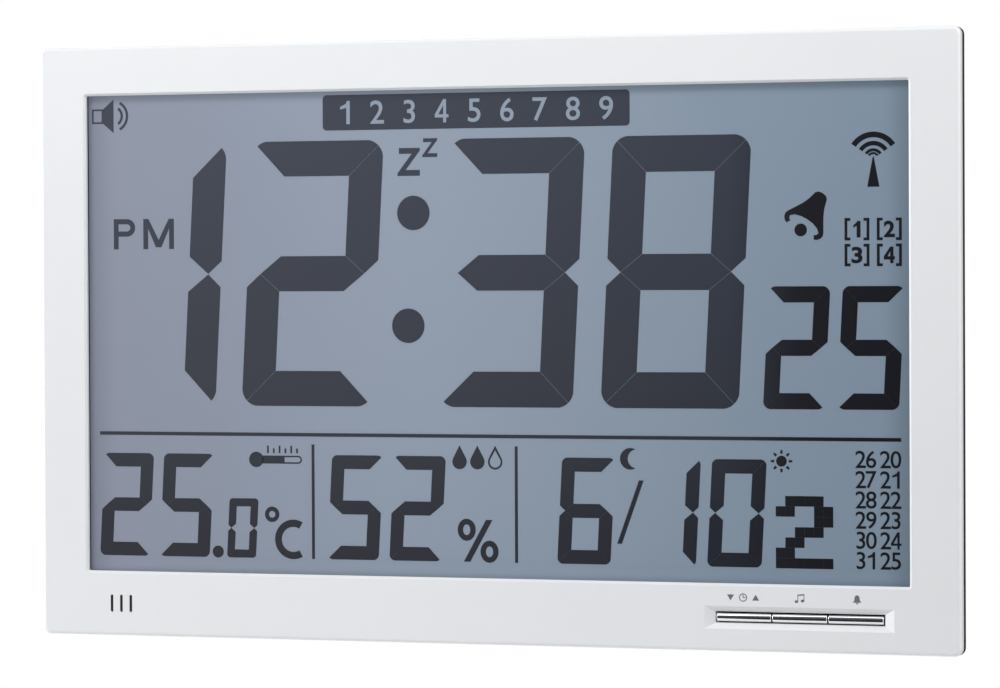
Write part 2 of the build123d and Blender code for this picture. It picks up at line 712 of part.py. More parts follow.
with BuildPart() as seconds_digits:
    with BuildSketch(DISPLAY):
        for digit, x in (("2", SECOND_X), ("5", SECOND_X + SECONDS_W + SECONDS_GAP)):
            with Locations((x, BIG_FOOT + SECONDS_H / 2)):
                add(figure(digit, SECONDS_W, SECONDS_H, SECONDS_STROKE, SECONDS_CORNER, FINE_HAIRLINE))
    extrude(amount=FIGURE_T)
keep(seconds_digits, "seconds_digits")

with BuildPart() as temperature_digits:
    with BuildSketch(DISPLAY):
        for digit, x in low_figures("25", TEMPERATURE_X):
            with Locations((x, LOW_Z)):
                add(figure(digit, LOW_W, LOW_H, LOW_STROKE, LOW_CORNER, FINE_HAIRLINE))
        with Locations((LEFT + TENTH_X + TENTH_W / 2, LOW_FOOT + TENTH_H / 2)):
            add(figure("0", TENTH_W, TENTH_H, TENTH_STROKE, TENTH_CORNER, FINE_HAIRLINE))
        with Locations((LEFT + POINT_X, LOW_FOOT + POINT_RISE)):
            Circle(POINT_R)
    extrude(amount=FIGURE_T)
keep(temperature_digits, "temperature_digits")

with BuildPart() as humidity_digits:
    with BuildSketch(DISPLAY):
        for digit, x in low_figures("52", HUMIDITY_X):
            with Locations((x, LOW_Z)):
                add(figure(digit, LOW_W, LOW_H, LOW_STROKE, LOW_CORNER, FINE_HAIRLINE))
    extrude(amount=FIGURE_T)
keep(humidity_digits, "humidity_digits")

with BuildPart() as date_digits:
    with BuildSketch(DISPLAY):
        for digit, x in low_figures("6", MONTH_X) + low_figures("10", DAY_X):
            with Locations((x, LOW_Z)):
                add(figure(digit, LOW_W, LOW_H, LOW_STROKE, LOW_CORNER, FINE_HAIRLINE))
        with Locations((LEFT + SLASH_X, LOW_FOOT + SLASH_FOOT)):
            Polygon((-SLASH_T / 2, 0), (SLASH_T / 2, 0), (SLASH_RUN + SLASH_T / 2, SLASH_H),
                    (SLASH_RUN - SLASH_T / 2, SLASH_H), align=None)
    extrude(amount=FIGURE_T)
keep(date_digits, "date_digits")

with BuildPart() as display_rules:
    with BuildSketch(DISPLAY):
        with Locations((0, RULE_Z)):
            Rectangle(WINDOW_W - 2 * RULE_INSET, RULE_T)
        column_top = RULE_Z - RULE_T / 2 - COLUMN_RULE_DROP
        for place in (FIRST_RULE_X, SECOND_RULE_X):
            with Locations((LEFT + place, (column_top + LOW_FOOT) / 2)):
                Rectangle(COLUMN_RULE_T, column_top - LOW_FOOT)
    extrude(amount=FIGURE_T)
keep(display_rules, "display_rules")

with BuildPart() as display_banner:
    with BuildSketch(DISPLAY):
        with Locations((BANNER_SHIFT, BANNER_Z)):
            RectangleRounded(BANNER_W, BANNER_H, BANNER_CORNER)
    extrude(amount=FIGURE_T)
keep(display_banner, "display_banner")

# Main board and what stands on its back
with BuildPart() as main_pcb:
    with BuildSketch(facing_front(PCB_Y, 0, PCB_Z)):
        Rectangle(PCB_W, PCB_H)
    extrude(amount=-PCB_T)
    with BuildSketch(facing_front(PCB_Y)):
        with Locations(*PCB_SCREWS):
            Circle(SMALL_SCREW_R + HOLE_FIT)
    extrude(amount=-PCB_T, mode=Mode.SUBTRACT)
keep(main_pcb, "main_pcb")

pcb_screw = pan_screw(SMALL_HEAD_R, SMALL_HEAD_T, SMALL_SCREW_R, PCB_T + LIP_T)
with BuildPart() as pcb_screws:
    with Locations(*[(x, PCB_REAR_Y, z) for x, z in PCB_SCREWS]):
        add(pcb_screw)
keep(pcb_screws, "pcb_screws")

with BuildPart() as mcu_glob_top:
    with BuildSketch(facing_front(PCB_REAR_Y, GLOB_X, PCB_Z)):
        Circle(GLOB_R)
    extrude(amount=-GLOB_T)
    fillet(mcu_glob_top.faces().sort_by(Axis.Y)[-1].edges(), GLOB_ROUND)
keep(mcu_glob_top, "mcu_glob_top")

with BuildPart() as quartz_crystal:
    with BuildSketch(Plane(origin=(CRYSTAL_X, PCB_REAR_Y + CRYSTAL_R + PART_FIT, PCB_Z), z_dir=(0, 0, 1))):
        Circle(CRYSTAL_R)
    extrude(amount=CRYSTAL_L)
keep(quartz_crystal, "quartz_crystal")

with BuildPart() as capacitors:
    with BuildSketch(facing_front(PCB_REAR_Y, CAPACITOR_X, PCB_Z)):
        with GridLocations(CAPACITOR_PITCH, 0, 3, 1):
            Circle(CAPACITOR_R)
    extrude(amount=-CAPACITOR_T)
keep(capacitors, "capacitors")

with BuildPart() as board_connectors:
    with BuildSketch(facing_front(PCB_REAR_Y)):
        with Locations(BATTERY_PLUG, SPEAKER_PLUG, AERIAL_PLUG, SENSOR_PLUG):
            Rectangle(PLUG_W, PLUG_H)
    extrude(amount=-PLUG_T)
keep(board_connectors, "board_connectors")


def bar_button(x):
    """A chromed bar with a rounded front, and the flange behind the collar that keeps it in."""
    edge_y = POCKET_Y - BAR_PROUD + BAR_CROWN
    with BuildPart() as button:
        with BuildSketch(Plane(origin=(x, 0, KEYS_Z), x_dir=(0, 1, 0), z_dir=(1, 0, 0))):
            with BuildLine():
                ThreePointArc((edge_y, BAR_H / 2), (edge_y - BAR_CROWN, 0), (edge_y, -BAR_H / 2))
                Polyline((edge_y, -BAR_H / 2), (COLLAR_Y, -BAR_H / 2), (COLLAR_Y, BAR_H / 2),
                         (edge_y, BAR_H / 2))
            make_face()
        extrude(amount=BAR_L / 2, both=True)
        crowned = button.faces().filter_by(GeomType.CYLINDER)
        ends = crowned.edges().filter_by(GeomType.CIRCLE)
        fillet(ends, BAR_END_ROUND)
        with BuildSketch(facing_front(COLLAR_Y, x, KEYS_Z)):
            Rectangle(BAR_L, BAR_H + 2 * FLANGE_LAP)
        extrude(amount=-FLANGE_T)
    return button


def switch_plunger(x):
    """The round plunger of a key switch: it touches the button and reaches into the switch."""
    with BuildPart() as plunger:
        with BuildSketch(facing_front(FLANGE_Y, x, KEYS_Z)):
            Circle(PLUNGER_R)
        extrude(amount=-(PLUNGER_OUT + PLUNGER_IN))
    return plunger


# Three bar buttons and the plungers of their switches
for place, key in enumerate(("mode", "chime", "alarm")):
    key_x = KEYS_X + (place - 1) * KEY_PITCH
    keep(bar_button(key_x), f"{key}_button")
    keep(switch_plunger(key_x), f"{key}_plunger")

# Key board: three switches on a narrow board behind the buttons, and its ribbon to the main board
with BuildPart() as tact_switch_bodies:
    with BuildSketch(facing_front(TACT_Y, KEYS_X, KEYS_Z)):
        with GridLocations(KEY_PITCH, 0, 3, 1):
            Rectangle(TACT_W, TACT_W)
    extrude(amount=-TACT_T)
    with BuildSketch(facing_front(TACT_Y, KEYS_X, KEYS_Z)):
        with GridLocations(KEY_PITCH, 0, 3, 1):
            Circle(PLUNGER_R + PLUNGER_FIT)
    extrude(amount=-(PLUNGER_IN + KEY_TRAVEL + SWITCH_SPARE), mode=Mode.SUBTRACT)
keep(tact_switch_bodies, "tact_switch_bodies")

with BuildPart() as key_pcb:
    with BuildSketch(facing_front(KEY_PCB_Y, KEYS_X, KEYS_Z)):
        Rectangle(KEY_PCB_W, KEY_PCB_H)
    extrude(amount=-PCB_T)
    with BuildSketch(facing_front(KEY_PCB_Y)):
        with Locations(*KEY_SCREWS):
            Circle(SMALL_SCREW_R + HOLE_FIT)
    extrude(amount=-PCB_T, mode=Mode.SUBTRACT)
keep(key_pcb, "key_pcb")

key_screw = pan_screw(SMALL_HEAD_R, SMALL_HEAD_T, SMALL_SCREW_R, PCB_T + SCREW_BITE)
with BuildPart() as key_pcb_screws:
    with Locations(*[(x, KEY_PCB_REAR_Y, z) for x, z in KEY_SCREWS]):
        add(key_screw)
keep(key_pcb_screws, "key_pcb_screws")

RIBBON_X = KEYS_X - KEY_PITCH
RIBBON_Z = (KEYS_Z + KEY_PCB_H / 2 + PCB_FOOT) / 2
RIBBON_Y = max(KEY_PCB_REAR_Y, PCB_REAR_Y)
with BuildPart() as key_ribbon:
    with BuildSketch(Plane(origin=(RIBBON_X, RIBBON_Y, RIBBON_Z), x_dir=(0, 1, 0), z_dir=(1, 0, 0))):
        Circle(RIBBON_R)
        Circle(RIBBON_R - RIBBON_T, mode=Mode.SUBTRACT)
        with Locations((-RIBBON_R / 2, 0)):
            Rectangle(RIBBON_R, 2 * RIBBON_R, mode=Mode.SUBTRACT)
    extrude(amount=RIBBON_W / 2, both=True)
keep(key_ribbon, "key_ribbon")

# Air sensor: a small board on a rubber shroud behind the slots, and the foam that keeps dust out
with BuildPart() as sensor_shroud:
    with BuildSketch(facing_front(SLOT_REAR_Y, SENSOR_X, SENSOR_Z)):
        Rectangle(SHROUD_W, SHROUD_H)
        Rectangle(SHROUD_W - 2 * SHROUD_T, SHROUD_H - 2 * SHROUD_T, mode=Mode.SUBTRACT)
    extrude(amount=SLOT_REAR_Y - SENSOR_PCB_Y)
keep(sensor_shroud, "sensor_shroud")

with BuildPart() as dust_filter:
    with BuildSketch(facing_front(SLOT_REAR_Y, SENSOR_X, SENSOR_Z)):
        Rectangle(SHROUD_W - 2 * (SHROUD_T + FILTER_FIT), SHROUD_H - 2 * (SHROUD_T + FILTER_FIT))
    extrude(amount=-FILTER_T)
keep(dust_filter, "dust_filter")

with BuildPart() as sensor_pcb:
    with BuildSketch(facing_front(SENSOR_PCB_Y, SENSOR_X + SENSOR_TAIL / 2, SENSOR_Z)):
        Rectangle(SHROUD_W + SENSOR_TAIL, SENSOR_PCB_H)
    extrude(amount=-SENSOR_PCB_T)
    with BuildSketch(facing_front(SENSOR_PCB_Y, SENSOR_SCREW_X, SENSOR_Z)):
        Circle(SMALL_SCREW_R + HOLE_FIT)
    extrude(amount=-SENSOR_PCB_T, mode=Mode.SUBTRACT)
keep(sensor_pcb, "sensor_pcb")

with BuildPart() as humidity_sensor:
    with BuildSketch(facing_front(SENSOR_PCB_Y, SENSOR_X, SENSOR_Z)):
        Rectangle(SENSOR_CHIP, SENSOR_CHIP)
    extrude(amount=SENSOR_CHIP_T)
    with BuildSketch(facing_front(SENSOR_PCB_Y - SENSOR_CHIP_T, SENSOR_X, SENSOR_Z)):
        Circle(SENSOR_CHIP / 4)
    extrude(amount=-SENSOR_CHIP_T / 2, mode=Mode.SUBTRACT)
keep(humidity_sensor, "humidity_sensor")

sensor_pan_screw = pan_screw(SMALL_HEAD_R, SMALL_HEAD_T, SMALL_SCREW_R, SENSOR_PCB_T + SHROUD_L)
with BuildPart() as sensor_screw:
    with Locations((SENSOR_SCREW_X, SENSOR_PCB_REAR_Y, SENSOR_Z)):
        add(sensor_pan_screw)
keep(sensor_screw, "sensor_screw")

# Hollow of the back: what is left of it round the posts that the screws go down
with BuildPart() as cover_hollow:
    with BuildSketch(facing_front(SEAM_Y)):
        Rectangle(CASE_W - 2 * RIM_INSET, CASE_H - 2 * RIM_INSET)
    extrude(amount=SEAM_Y - RIM_Y)
    with BuildSketch(facing_front(RIM_Y)):
        Rectangle(CASE_W - 2 * RIM_INSET, CASE_H - 2 * RIM_INSET)
    with BuildSketch(facing_front(LID_Y)):
        Rectangle(CASE_W - 2 * LID_INSET, CASE_H - 2 * LID_INSET)
    loft(ruled=True)
    with BuildSketch(facing_front(BOSS_Y)):
        with Locations(*COVER_SCREWS):
            Circle(POST_R)
    extrude(amount=BOSS_Y, mode=Mode.SUBTRACT)

# Rear cover: black band, 45 degree sides, flat back, battery box and the seats of what it carries
with BuildPart() as rear_cover:
    with BuildSketch(facing_front(SEAM_Y)):
        RectangleRounded(CASE_W, CASE_H, CASE_CORNER)
    extrude(amount=-BAND)
    with BuildSketch(facing_front(BAND_Y)):
        RectangleRounded(CASE_W, CASE_H, CASE_CORNER)
    with BuildSketch(facing_front(0)):
        RectangleRounded(BACK_W, BACK_H, BACK_CORNER)
    loft(ruled=True)
    add(cover_hollow.part, mode=Mode.SUBTRACT)
    with BuildSketch(facing_front(SEAM_Y)):
        Rectangle(CASE_W - 2 * (SIDE_WALL + SEAM_FIT), CASE_H - 2 * (SIDE_WALL + SEAM_FIT))
        Rectangle(CASE_W - 2 * RIM_INSET, CASE_H - 2 * RIM_INSET, mode=Mode.SUBTRACT)
    extrude(amount=TONGUE_H)
    with BuildSketch(facing_front(SEAT_Y)):
        with Locations(*COVER_SCREWS):
            Circle(WELL_R)
    extrude(amount=SEAT_Y, mode=Mode.SUBTRACT)
    with BuildSketch(facing_front(SEAT_Y)):
        with Locations(*COVER_SCREWS):
            Circle(SCREW_R + HOLE_FIT)
    extrude(amount=WELL_SEAT, mode=Mode.SUBTRACT)
    # Battery box with the pad that its door lies on
    pad_foot = BOX_Z - BOX_H / 2 - BOX_WALL
    pad_top = DOOR_TOP_Z + DOOR_FIT + BOX_WALL
    with BuildSketch(facing_front(LID_Y, 0, (pad_foot + pad_top) / 2)):
        Rectangle(TONGUE_W + 2 * DOOR_FIT + 2 * BOX_WALL, pad_top - pad_foot)
    extrude(amount=PAD_T)
    with BuildSketch(facing_front(LID_Y, 0, BOX_Z)):
        Rectangle(BOX_L + 2 * BOX_WALL, BOX_H + 2 * BOX_WALL)
    extrude(amount=LID_Y - BOX_BACK_Y)
    with BuildSketch(facing_front(BOX_FLOOR_Y, 0, BOX_Z)):
        Rectangle(BOX_L, BOX_H)
    extrude(amount=BOX_FLOOR_Y, mode=Mode.SUBTRACT)
    # Door seat: a wide groove for its tongues under a narrower mouth, open down to the slope
    seat_top = DOOR_TOP_Z + DOOR_FIT
    seat_h = seat_top + CASE_H / 2
    with BuildSketch(facing_front(-DOOR_T, 0, seat_top - seat_h / 2)):
        Rectangle(TONGUE_W + 2 * DOOR_FIT, seat_h)
    extrude(amount=-DOOR_T - LIP_UNDER_Y, mode=Mode.SUBTRACT)
    with BuildSketch(facing_front(-DOOR_T, 0, seat_top - seat_h / 2)):
        Rectangle(DOOR_W + 2 * DOOR_FIT, seat_h)
    extrude(amount=-DOOR_T, mode=Mode.SUBTRACT)
    # Hanging holes with closed pockets behind them
    pocket_w = 2 * (KEYHOLE_R + KEYHOLE_ROOM)
    pocket_h = KEYHOLE_R + KEYHOLE_RISE + KEYHOLE_SLOT_R + 2 * KEYHOLE_ROOM
    pocket_z = KEYHOLE_Z - KEYHOLE_R - KEYHOLE_ROOM + pocket_h / 2
    with BuildSketch(facing_front(LID_Y, 0, pocket_z)):
        with GridLocations(KEYHOLE_SPACING, 0, 2, 1):
            Rectangle(pocket_w + 2 * KEYHOLE_WALL, pocket_h + 2 * KEYHOLE_WALL)
    extrude(amount=KEYHOLE_POCKET_D + KEYHOLE_WALL)
    with BuildSketch(facing_front(LID_Y, 0, pocket_z)):
        with GridLocations(KEYHOLE_SPACING, 0, 2, 1):
            Rectangle(pocket_w, pocket_h)
    extrude(amount=KEYHOLE_POCKET_D, mode=Mode.SUBTRACT)
    with BuildSketch(facing_front(LID_Y, 0, KEYHOLE_Z)):
        with GridLocations(KEYHOLE_SPACING, 0, 2, 1):
            Circle(KEYHOLE_R)
            with Locations((0, KEYHOLE_RISE / 2)):
                SlotCenterToCenter(KEYHOLE_RISE, 2 * KEYHOLE_SLOT_R, rotation=90)
    extrude(amount=LID_Y, mode=Mode.SUBTRACT)
    # Speaker grille and its screw bosses
    with BuildSketch(facing_front(LID_Y, SPEAKER_X, SPEAKER_Z)):
        Circle(GRILLE_HOLE_R)
        for ring in range(1, GRILLE_RINGS + 1):
            with PolarLocations(ring * GRILLE_PITCH, 6 * ring):
                Circle(GRILLE_HOLE_R)
    extrude(amount=LID_Y, mode=Mode.SUBTRACT)
    with BuildSketch(facing_front(LID_Y, SPEAKER_X, SPEAKER_Z)):
        with PolarLocations(SPEAKER_SCREW_PCR, 3, start_angle=90):
            Circle(SMALL_BOSS_R)
    extrude(amount=SPEAKER_RIM_T)
    with BuildSketch(facing_front(RIM_Y_SPEAKER, SPEAKER_X, SPEAKER_Z)):
        with PolarLocations(SPEAKER_SCREW_PCR, 3, start_angle=90):
            Circle(SMALL_SCREW_R + PILOT_FIT)
    extrude(amount=RIM_Y_SPEAKER - LID_Y / 2, mode=Mode.SUBTRACT)
    # Cradles for the aerial rod
    cradle_h = 2 * (ROD_R + CRADLE_WALL)
    with BuildSketch(facing_front(LID_Y, ROD_X, ROD_Z)):
        with GridLocations(ROD_L - 2 * CRADLE_INSET, 0, 2, 1):
            Rectangle(CRADLE_T, cradle_h)
    extrude(amount=LID_Y + ROD_DEPTH)
    with BuildSketch(Plane(origin=(ROD_X, -ROD_DEPTH, ROD_Z), x_dir=(0, 1, 0), z_dir=(1, 0, 0))):
        Circle(ROD_R + ROD_FIT)
    extrude(amount=ROD_L / 2, both=True, mode=Mode.SUBTRACT)
    # Hole for the reset button
    with BuildSketch(facing_front(LID_Y, RESET_X, RESET_Z)):
        Circle(RESET_R + RESET_FIT)
    extrude(amount=LID_Y, mode=Mode.SUBTRACT)
    # Bare recess where a rating plate would lie
    with BuildSketch(facing_front(0, PLATE_RECESS_X, PLATE_RECESS_Z)):
        RectangleRounded(PLATE_RECESS_W, PLATE_RECESS_H, PLATE_RECESS_CORNER)
    extrude(amount=PLATE_RECESS_D, mode=Mode.SUBTRACT)
keep(rear_cover, "rear_cover")

cover_screw = pan_screw(SCREW_HEAD_R, SCREW_HEAD_T, SCREW_R, WELL_SEAT + SCREW_BITE - PILOT_FIT)
with BuildPart() as rear_cover_screws:
    with Locations(*[(x, SEAT_Y, z) for x, z in COVER_SCREWS]):
        add(cover_screw)
keep(rear_cover_screws, "rear_cover_screws")

# Battery door: a flat plate over wider tongues, its foot cut to the slope of the case
with BuildPart() as battery_door:
    with BuildSketch(Plane.YZ):
        Polygon((0, DOOR_TOP_Z), (0, BACK_FOOT), (DOOR_STEP_Y, BACK_FOOT + DOOR_STEP_Y),
                (DOOR_STEP_Y, DOOR_TOP_Z), align=None)
    extrude(amount=DOOR_W / 2, both=True)
    with BuildSketch(Plane.YZ):
        Polygon((DOOR_STEP_Y, DOOR_TOP_Z), (DOOR_STEP_Y, BACK_FOOT + DOOR_STEP_Y),
                (-DOOR_T, BACK_FOOT - DOOR_T), (-DOOR_T, DOOR_TOP_Z), align=None)
    extrude(amount=TONGUE_W / 2, both=True)
    grip_z = DOOR_TOP_Z - GRIP_DROP
    with BuildSketch(facing_front(0, 0, grip_z)):
        with GridLocations(0, GRIP_PITCH, 1, GRIP_COUNT):
            SlotOverall(GRIP_L, GRIP_W)
        with Locations((0, GRIP_DROP - ARROW_DROP)):
            Polygon((-ARROW_W / 2, 0), (0, -ARROW_H), (ARROW_W / 2, 0), align=None)
    extrude(amount=GRIP_D, mode=Mode.SUBTRACT)
keep(battery_door, "battery_door")


def end_to_end(facing):
    """Ends of the two cells of a row: where each one's flat end lies, and which way it points."""
    flat = -facing * (BOX_L / 2 - LEAF_D)
    return [flat, flat + facing * CELL_L]


# Four AA cells, two in each row, the rows facing opposite ways
CELL_ROWS = [(1, BOX_Z + ROW_RISE), (-1, BOX_Z - ROW_RISE)]
with BuildPart() as aa_cells:
    for facing, row_z in CELL_ROWS:
        for flat_x in end_to_end(facing):
            end = Plane(origin=(flat_x, CELL_Y, row_z), x_dir=(0, 1, 0), z_dir=(facing, 0, 0))
            with BuildSketch(end):
                Circle(CELL_D / 2 - PART_FIT)
            extrude(amount=CELL_L - NUB_L)
            with BuildSketch(end.offset(CELL_L - NUB_L)):
                Circle(NUB_R)
            extrude(amount=NUB_L - PART_FIT)
    shoulders = aa_cells.edges().filter_by(GeomType.CIRCLE)
    shoulders = shoulders.filter_by(lambda edge: edge.radius > NUB_R + CELL_ROUND)
    fillet(shoulders, CELL_ROUND)
keep(aa_cells, "aa_cells")

with BuildPart() as battery_contacts_positive:
    for facing, row_z in CELL_ROWS:
        with BuildSketch(facing_front(CELL_Y, facing * (BOX_L / 2 - PLATE_T / 2), row_z)):
            Rectangle(PLATE_T, PLATE_W)
        extrude(amount=PLATE_W / 2, both=True)
keep(battery_contacts_positive, "battery_contacts_positive")

# Sprung leaf at the flat end of each row: a flat foot on the wall and an arched tongue
with BuildPart() as battery_contacts_negative:
    for facing, row_z in CELL_ROWS:
        wall_x = -facing * BOX_L / 2
        crown_x = wall_x + facing * (LEAF_D - PART_FIT)
        with BuildSketch(facing_front(CELL_Y, 0, row_z)):
            with BuildLine():
                low = (wall_x, -PLATE_W / 2)
                high = (wall_x, PLATE_W / 2)
                ThreePointArc(low, (crown_x, 0), high)
                Line(high, (wall_x, PLATE_W / 2 - PLATE_T))
                ThreePointArc((wall_x, PLATE_W / 2 - PLATE_T), (crown_x - facing * PLATE_T, 0),
                              (wall_x, -PLATE_W / 2 + PLATE_T))
                Line((wall_x, -PLATE_W / 2 + PLATE_T), low)
            make_face()
        extrude(amount=LEAF_W / 2, both=True)
keep(battery_contacts_negative, "battery_contacts_negative")

# Speaker: basket, cone and magnet on the axis of the grille, with its screws
SPEAKER_PLANE = Plane(origin=(SPEAKER_X, 0, SPEAKER_Z), x_dir=(1, 0, 0), z_dir=(0, 0, 1))
SPEAKER_AXIS = Axis((SPEAKER_X, 0, SPEAKER_Z), (0, 1, 0))
RIM_INNER_R = SPEAKER_R - SPEAKER_RIM
with BuildPart() as speaker_frame:
    with BuildSketch(SPEAKER_PLANE):
        Polygon((RIM_INNER_R, LID_Y), (SPEAKER_R, LID_Y), (SPEAKER_R, RIM_Y_SPEAKER),
                (RIM_INNER_R + SPEAKER_WALL, RIM_Y_SPEAKER), (SPEAKER_NECK_R + SPEAKER_WALL, BASKET_Y),
                (0, BASKET_Y), (0, BASKET_Y + SPEAKER_WALL), (SPEAKER_NECK_R, BASKET_Y + SPEAKER_WALL),
                (RIM_INNER_R, RIM_Y_SPEAKER), align=None)
    revolve(axis=SPEAKER_AXIS)
keep(speaker_frame, "speaker_frame")

with BuildPart() as speaker_cone:
    cone_r = RIM_INNER_R - CONE_FIT
    with BuildSketch(SPEAKER_PLANE):
        Polygon((cone_r, RIM_Y_SPEAKER + CONE_T), (cone_r, RIM_Y_SPEAKER),
                (CONE_NECK_R, RIM_Y_SPEAKER - CONE_D), (0, RIM_Y_SPEAKER - CONE_D + CONE_DOME),
                (0, RIM_Y_SPEAKER - CONE_D + CONE_DOME + CONE_T),
                (CONE_NECK_R, RIM_Y_SPEAKER - CONE_D + CONE_T), align=None)
    revolve(axis=SPEAKER_AXIS)
keep(speaker_cone, "speaker_cone")

with BuildPart() as speaker_magnet:
    with BuildSketch(facing_front(BASKET_Y, SPEAKER_X, SPEAKER_Z)):
        Circle(MAGNET_R)
    extrude(amount=MAGNET_T)
keep(speaker_magnet, "speaker_magnet")

# The heads of the speaker's screws lie on the front of its rim, so their shanks point to the back
speaker_pan_screw = pan_screw(SMALL_HEAD_R + PART_FIT + SMALL_BOSS_R / 2, SMALL_HEAD_T, SMALL_SCREW_R,
                              SPEAKER_RIM_T + LID_WALL / 2 - PILOT_FIT)
with BuildPart() as speaker_screws:
    with Locations(facing_front(RIM_Y_SPEAKER, SPEAKER_X, SPEAKER_Z)):
        with PolarLocations(SPEAKER_SCREW_PCR, 3, start_angle=90):
            add(speaker_pan_screw, rotation=(90, 0, 0))
keep(speaker_screws, "speaker_screws")

# Aerial: a ferrite rod in its cradles with a wound coil round the middle
with BuildPart() as ferrite_rod:
    with BuildSketch(Plane(origin=(ROD_X, -ROD_DEPTH, ROD_Z), x_dir=(0, 1, 0), z_dir=(1, 0, 0))):
        Circle(ROD_R)
    extrude(amount=ROD_L / 2, both=True)
keep(ferrite_rod, "ferrite_rod")

with BuildPart() as antenna_coil:
    with BuildSketch(Plane(origin=(ROD_X, -ROD_DEPTH, ROD_Z), x_dir=(0, 1, 0), z_dir=(1, 0, 0))):
        Circle(ROD_R + COIL_FIT + COIL_T)
        Circle(ROD_R + COIL_FIT, mode=Mode.SUBTRACT)
    extrude(amount=COIL_L / 2, both=True)
keep(antenna_coil, "antenna_coil")

# Reset button: a long stem through the back that presses a switch on the main board
with BuildPart() as reset_button:
    with BuildSketch(facing_front(-RESET_SUNK, RESET_X, RESET_Z)):
        Circle(RESET_R)
    extrude(amount=-RESET_SUNK - STEM_END_Y)
    with BuildSketch(facing_front(LID_Y, RESET_X, RESET_Z)):
        Circle(RESET_R + RESET_FLANGE)
    extrude(amount=RESET_FLANGE_T)
keep(reset_button, "reset_button")

with BuildPart() as reset_plunger:
    with BuildSketch(facing_front(STEM_END_Y, RESET_X, RESET_Z)):
        Circle(RESET_PLUNGER_R)
    extrude(amount=RESET_PLUNGER_OUT + RESET_PLUNGER_IN)
keep(reset_plunger, "reset_plunger")

with BuildPart() as reset_switch:
    with BuildSketch(facing_front(PCB_REAR_Y, RESET_X, RESET_Z)):
        Rectangle(TACT_W, TACT_W)
    extrude(amount=-RESET_SWITCH_T)
    with BuildSketch(facing_front(RESET_SWITCH_Y, RESET_X, RESET_Z)):
        Circle(RESET_PLUNGER_R + PLUNGER_FIT)
    extrude(amount=RESET_PLUNGER_IN + RESET_TRAVEL + SWITCH_SPARE, mode=Mode.SUBTRACT)
keep(reset_switch, "reset_switch")

# Leads between the boards, the cells, the speaker and the aerial
plug_x, plug_z = BATTERY_PLUG
with BuildPart() as battery_leads:
    for side in (-1, 1):
        tab_z = BOX_Z + side * ROW_RISE
        pin_z = plug_z + side * PLUG_H / 4
        add(lead([(BOX_L / 2 + BOX_WALL, CELL_Y, tab_z), (plug_x - PLUG_W, CELL_Y, tab_z),
                  (plug_x, CELL_Y, pin_z), (plug_x, PLUG_Y, pin_z)]))
keep(battery_leads, "battery_leads")

plug_x, plug_z = SPEAKER_PLUG
rim_z = SPEAKER_Z - SPEAKER_R + SPEAKER_RIM / 2 - SPEAKER_WALL / 2
with BuildPart() as speaker_lead:
    add(lead([(SPEAKER_X, RIM_Y_SPEAKER, rim_z), (SPEAKER_X, CELL_Y, rim_z), (plug_x, CELL_Y, plug_z),
              (plug_x, PLUG_Y, plug_z)]))
keep(speaker_lead, "speaker_lead")

plug_x, plug_z = AERIAL_PLUG
coil_foot = ROD_Z - ROD_R - COIL_FIT - COIL_T
with BuildPart() as antenna_lead:
    add(lead([(ROD_X, -ROD_DEPTH, coil_foot), (ROD_X, -ROD_DEPTH, (coil_foot + plug_z) / 2),
              (plug_x, -ROD_DEPTH, plug_z), (plug_x, PLUG_Y, plug_z)]))
keep(antenna_lead, "antenna_lead")

plug_x, plug_z = SENSOR_PLUG
with BuildPart() as sensor_lead:
    add(lead([(SENSOR_X, SENSOR_PCB_REAR_Y, SENSOR_Z), (SENSOR_X, PLUG_Y, SENSOR_Z),
              (plug_x, CELL_Y, plug_z), (plug_x, PLUG_Y, plug_z)]))
keep(sensor_lead, "sensor_lead")

print(f"case {CASE_W:.2f} x {CASE_H:.2f} x {CASE_D:.2f}, window {WINDOW_W:.2f} x {WINDOW_H:.2f}")
print(f"flat back {BACK_W:.2f} x {BACK_H:.2f}, door slides {DOOR_TOP_Z - BACK_FOOT:.2f}")
print(f"buttons at x {KEYS_X:.2f}, z {KEYS_Z:.2f}; hanging holes at z {KEYHOLE_Z:.2f}")
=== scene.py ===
# %% [markdown]
# # Dressing a digital wall clock
# The clock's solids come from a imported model: a white border, a display, three bar buttons and a black back.
# They could be redrawn here, but then nothing would fit, so they are loaded as a fixed frame and only
# dressed: every piece gets its finish, and the small signs and plates that have no solid are modelled
# around them.

# %% Load the frame
import json
import math

import bmesh
import bpy
from mathutils import Matrix, Vector


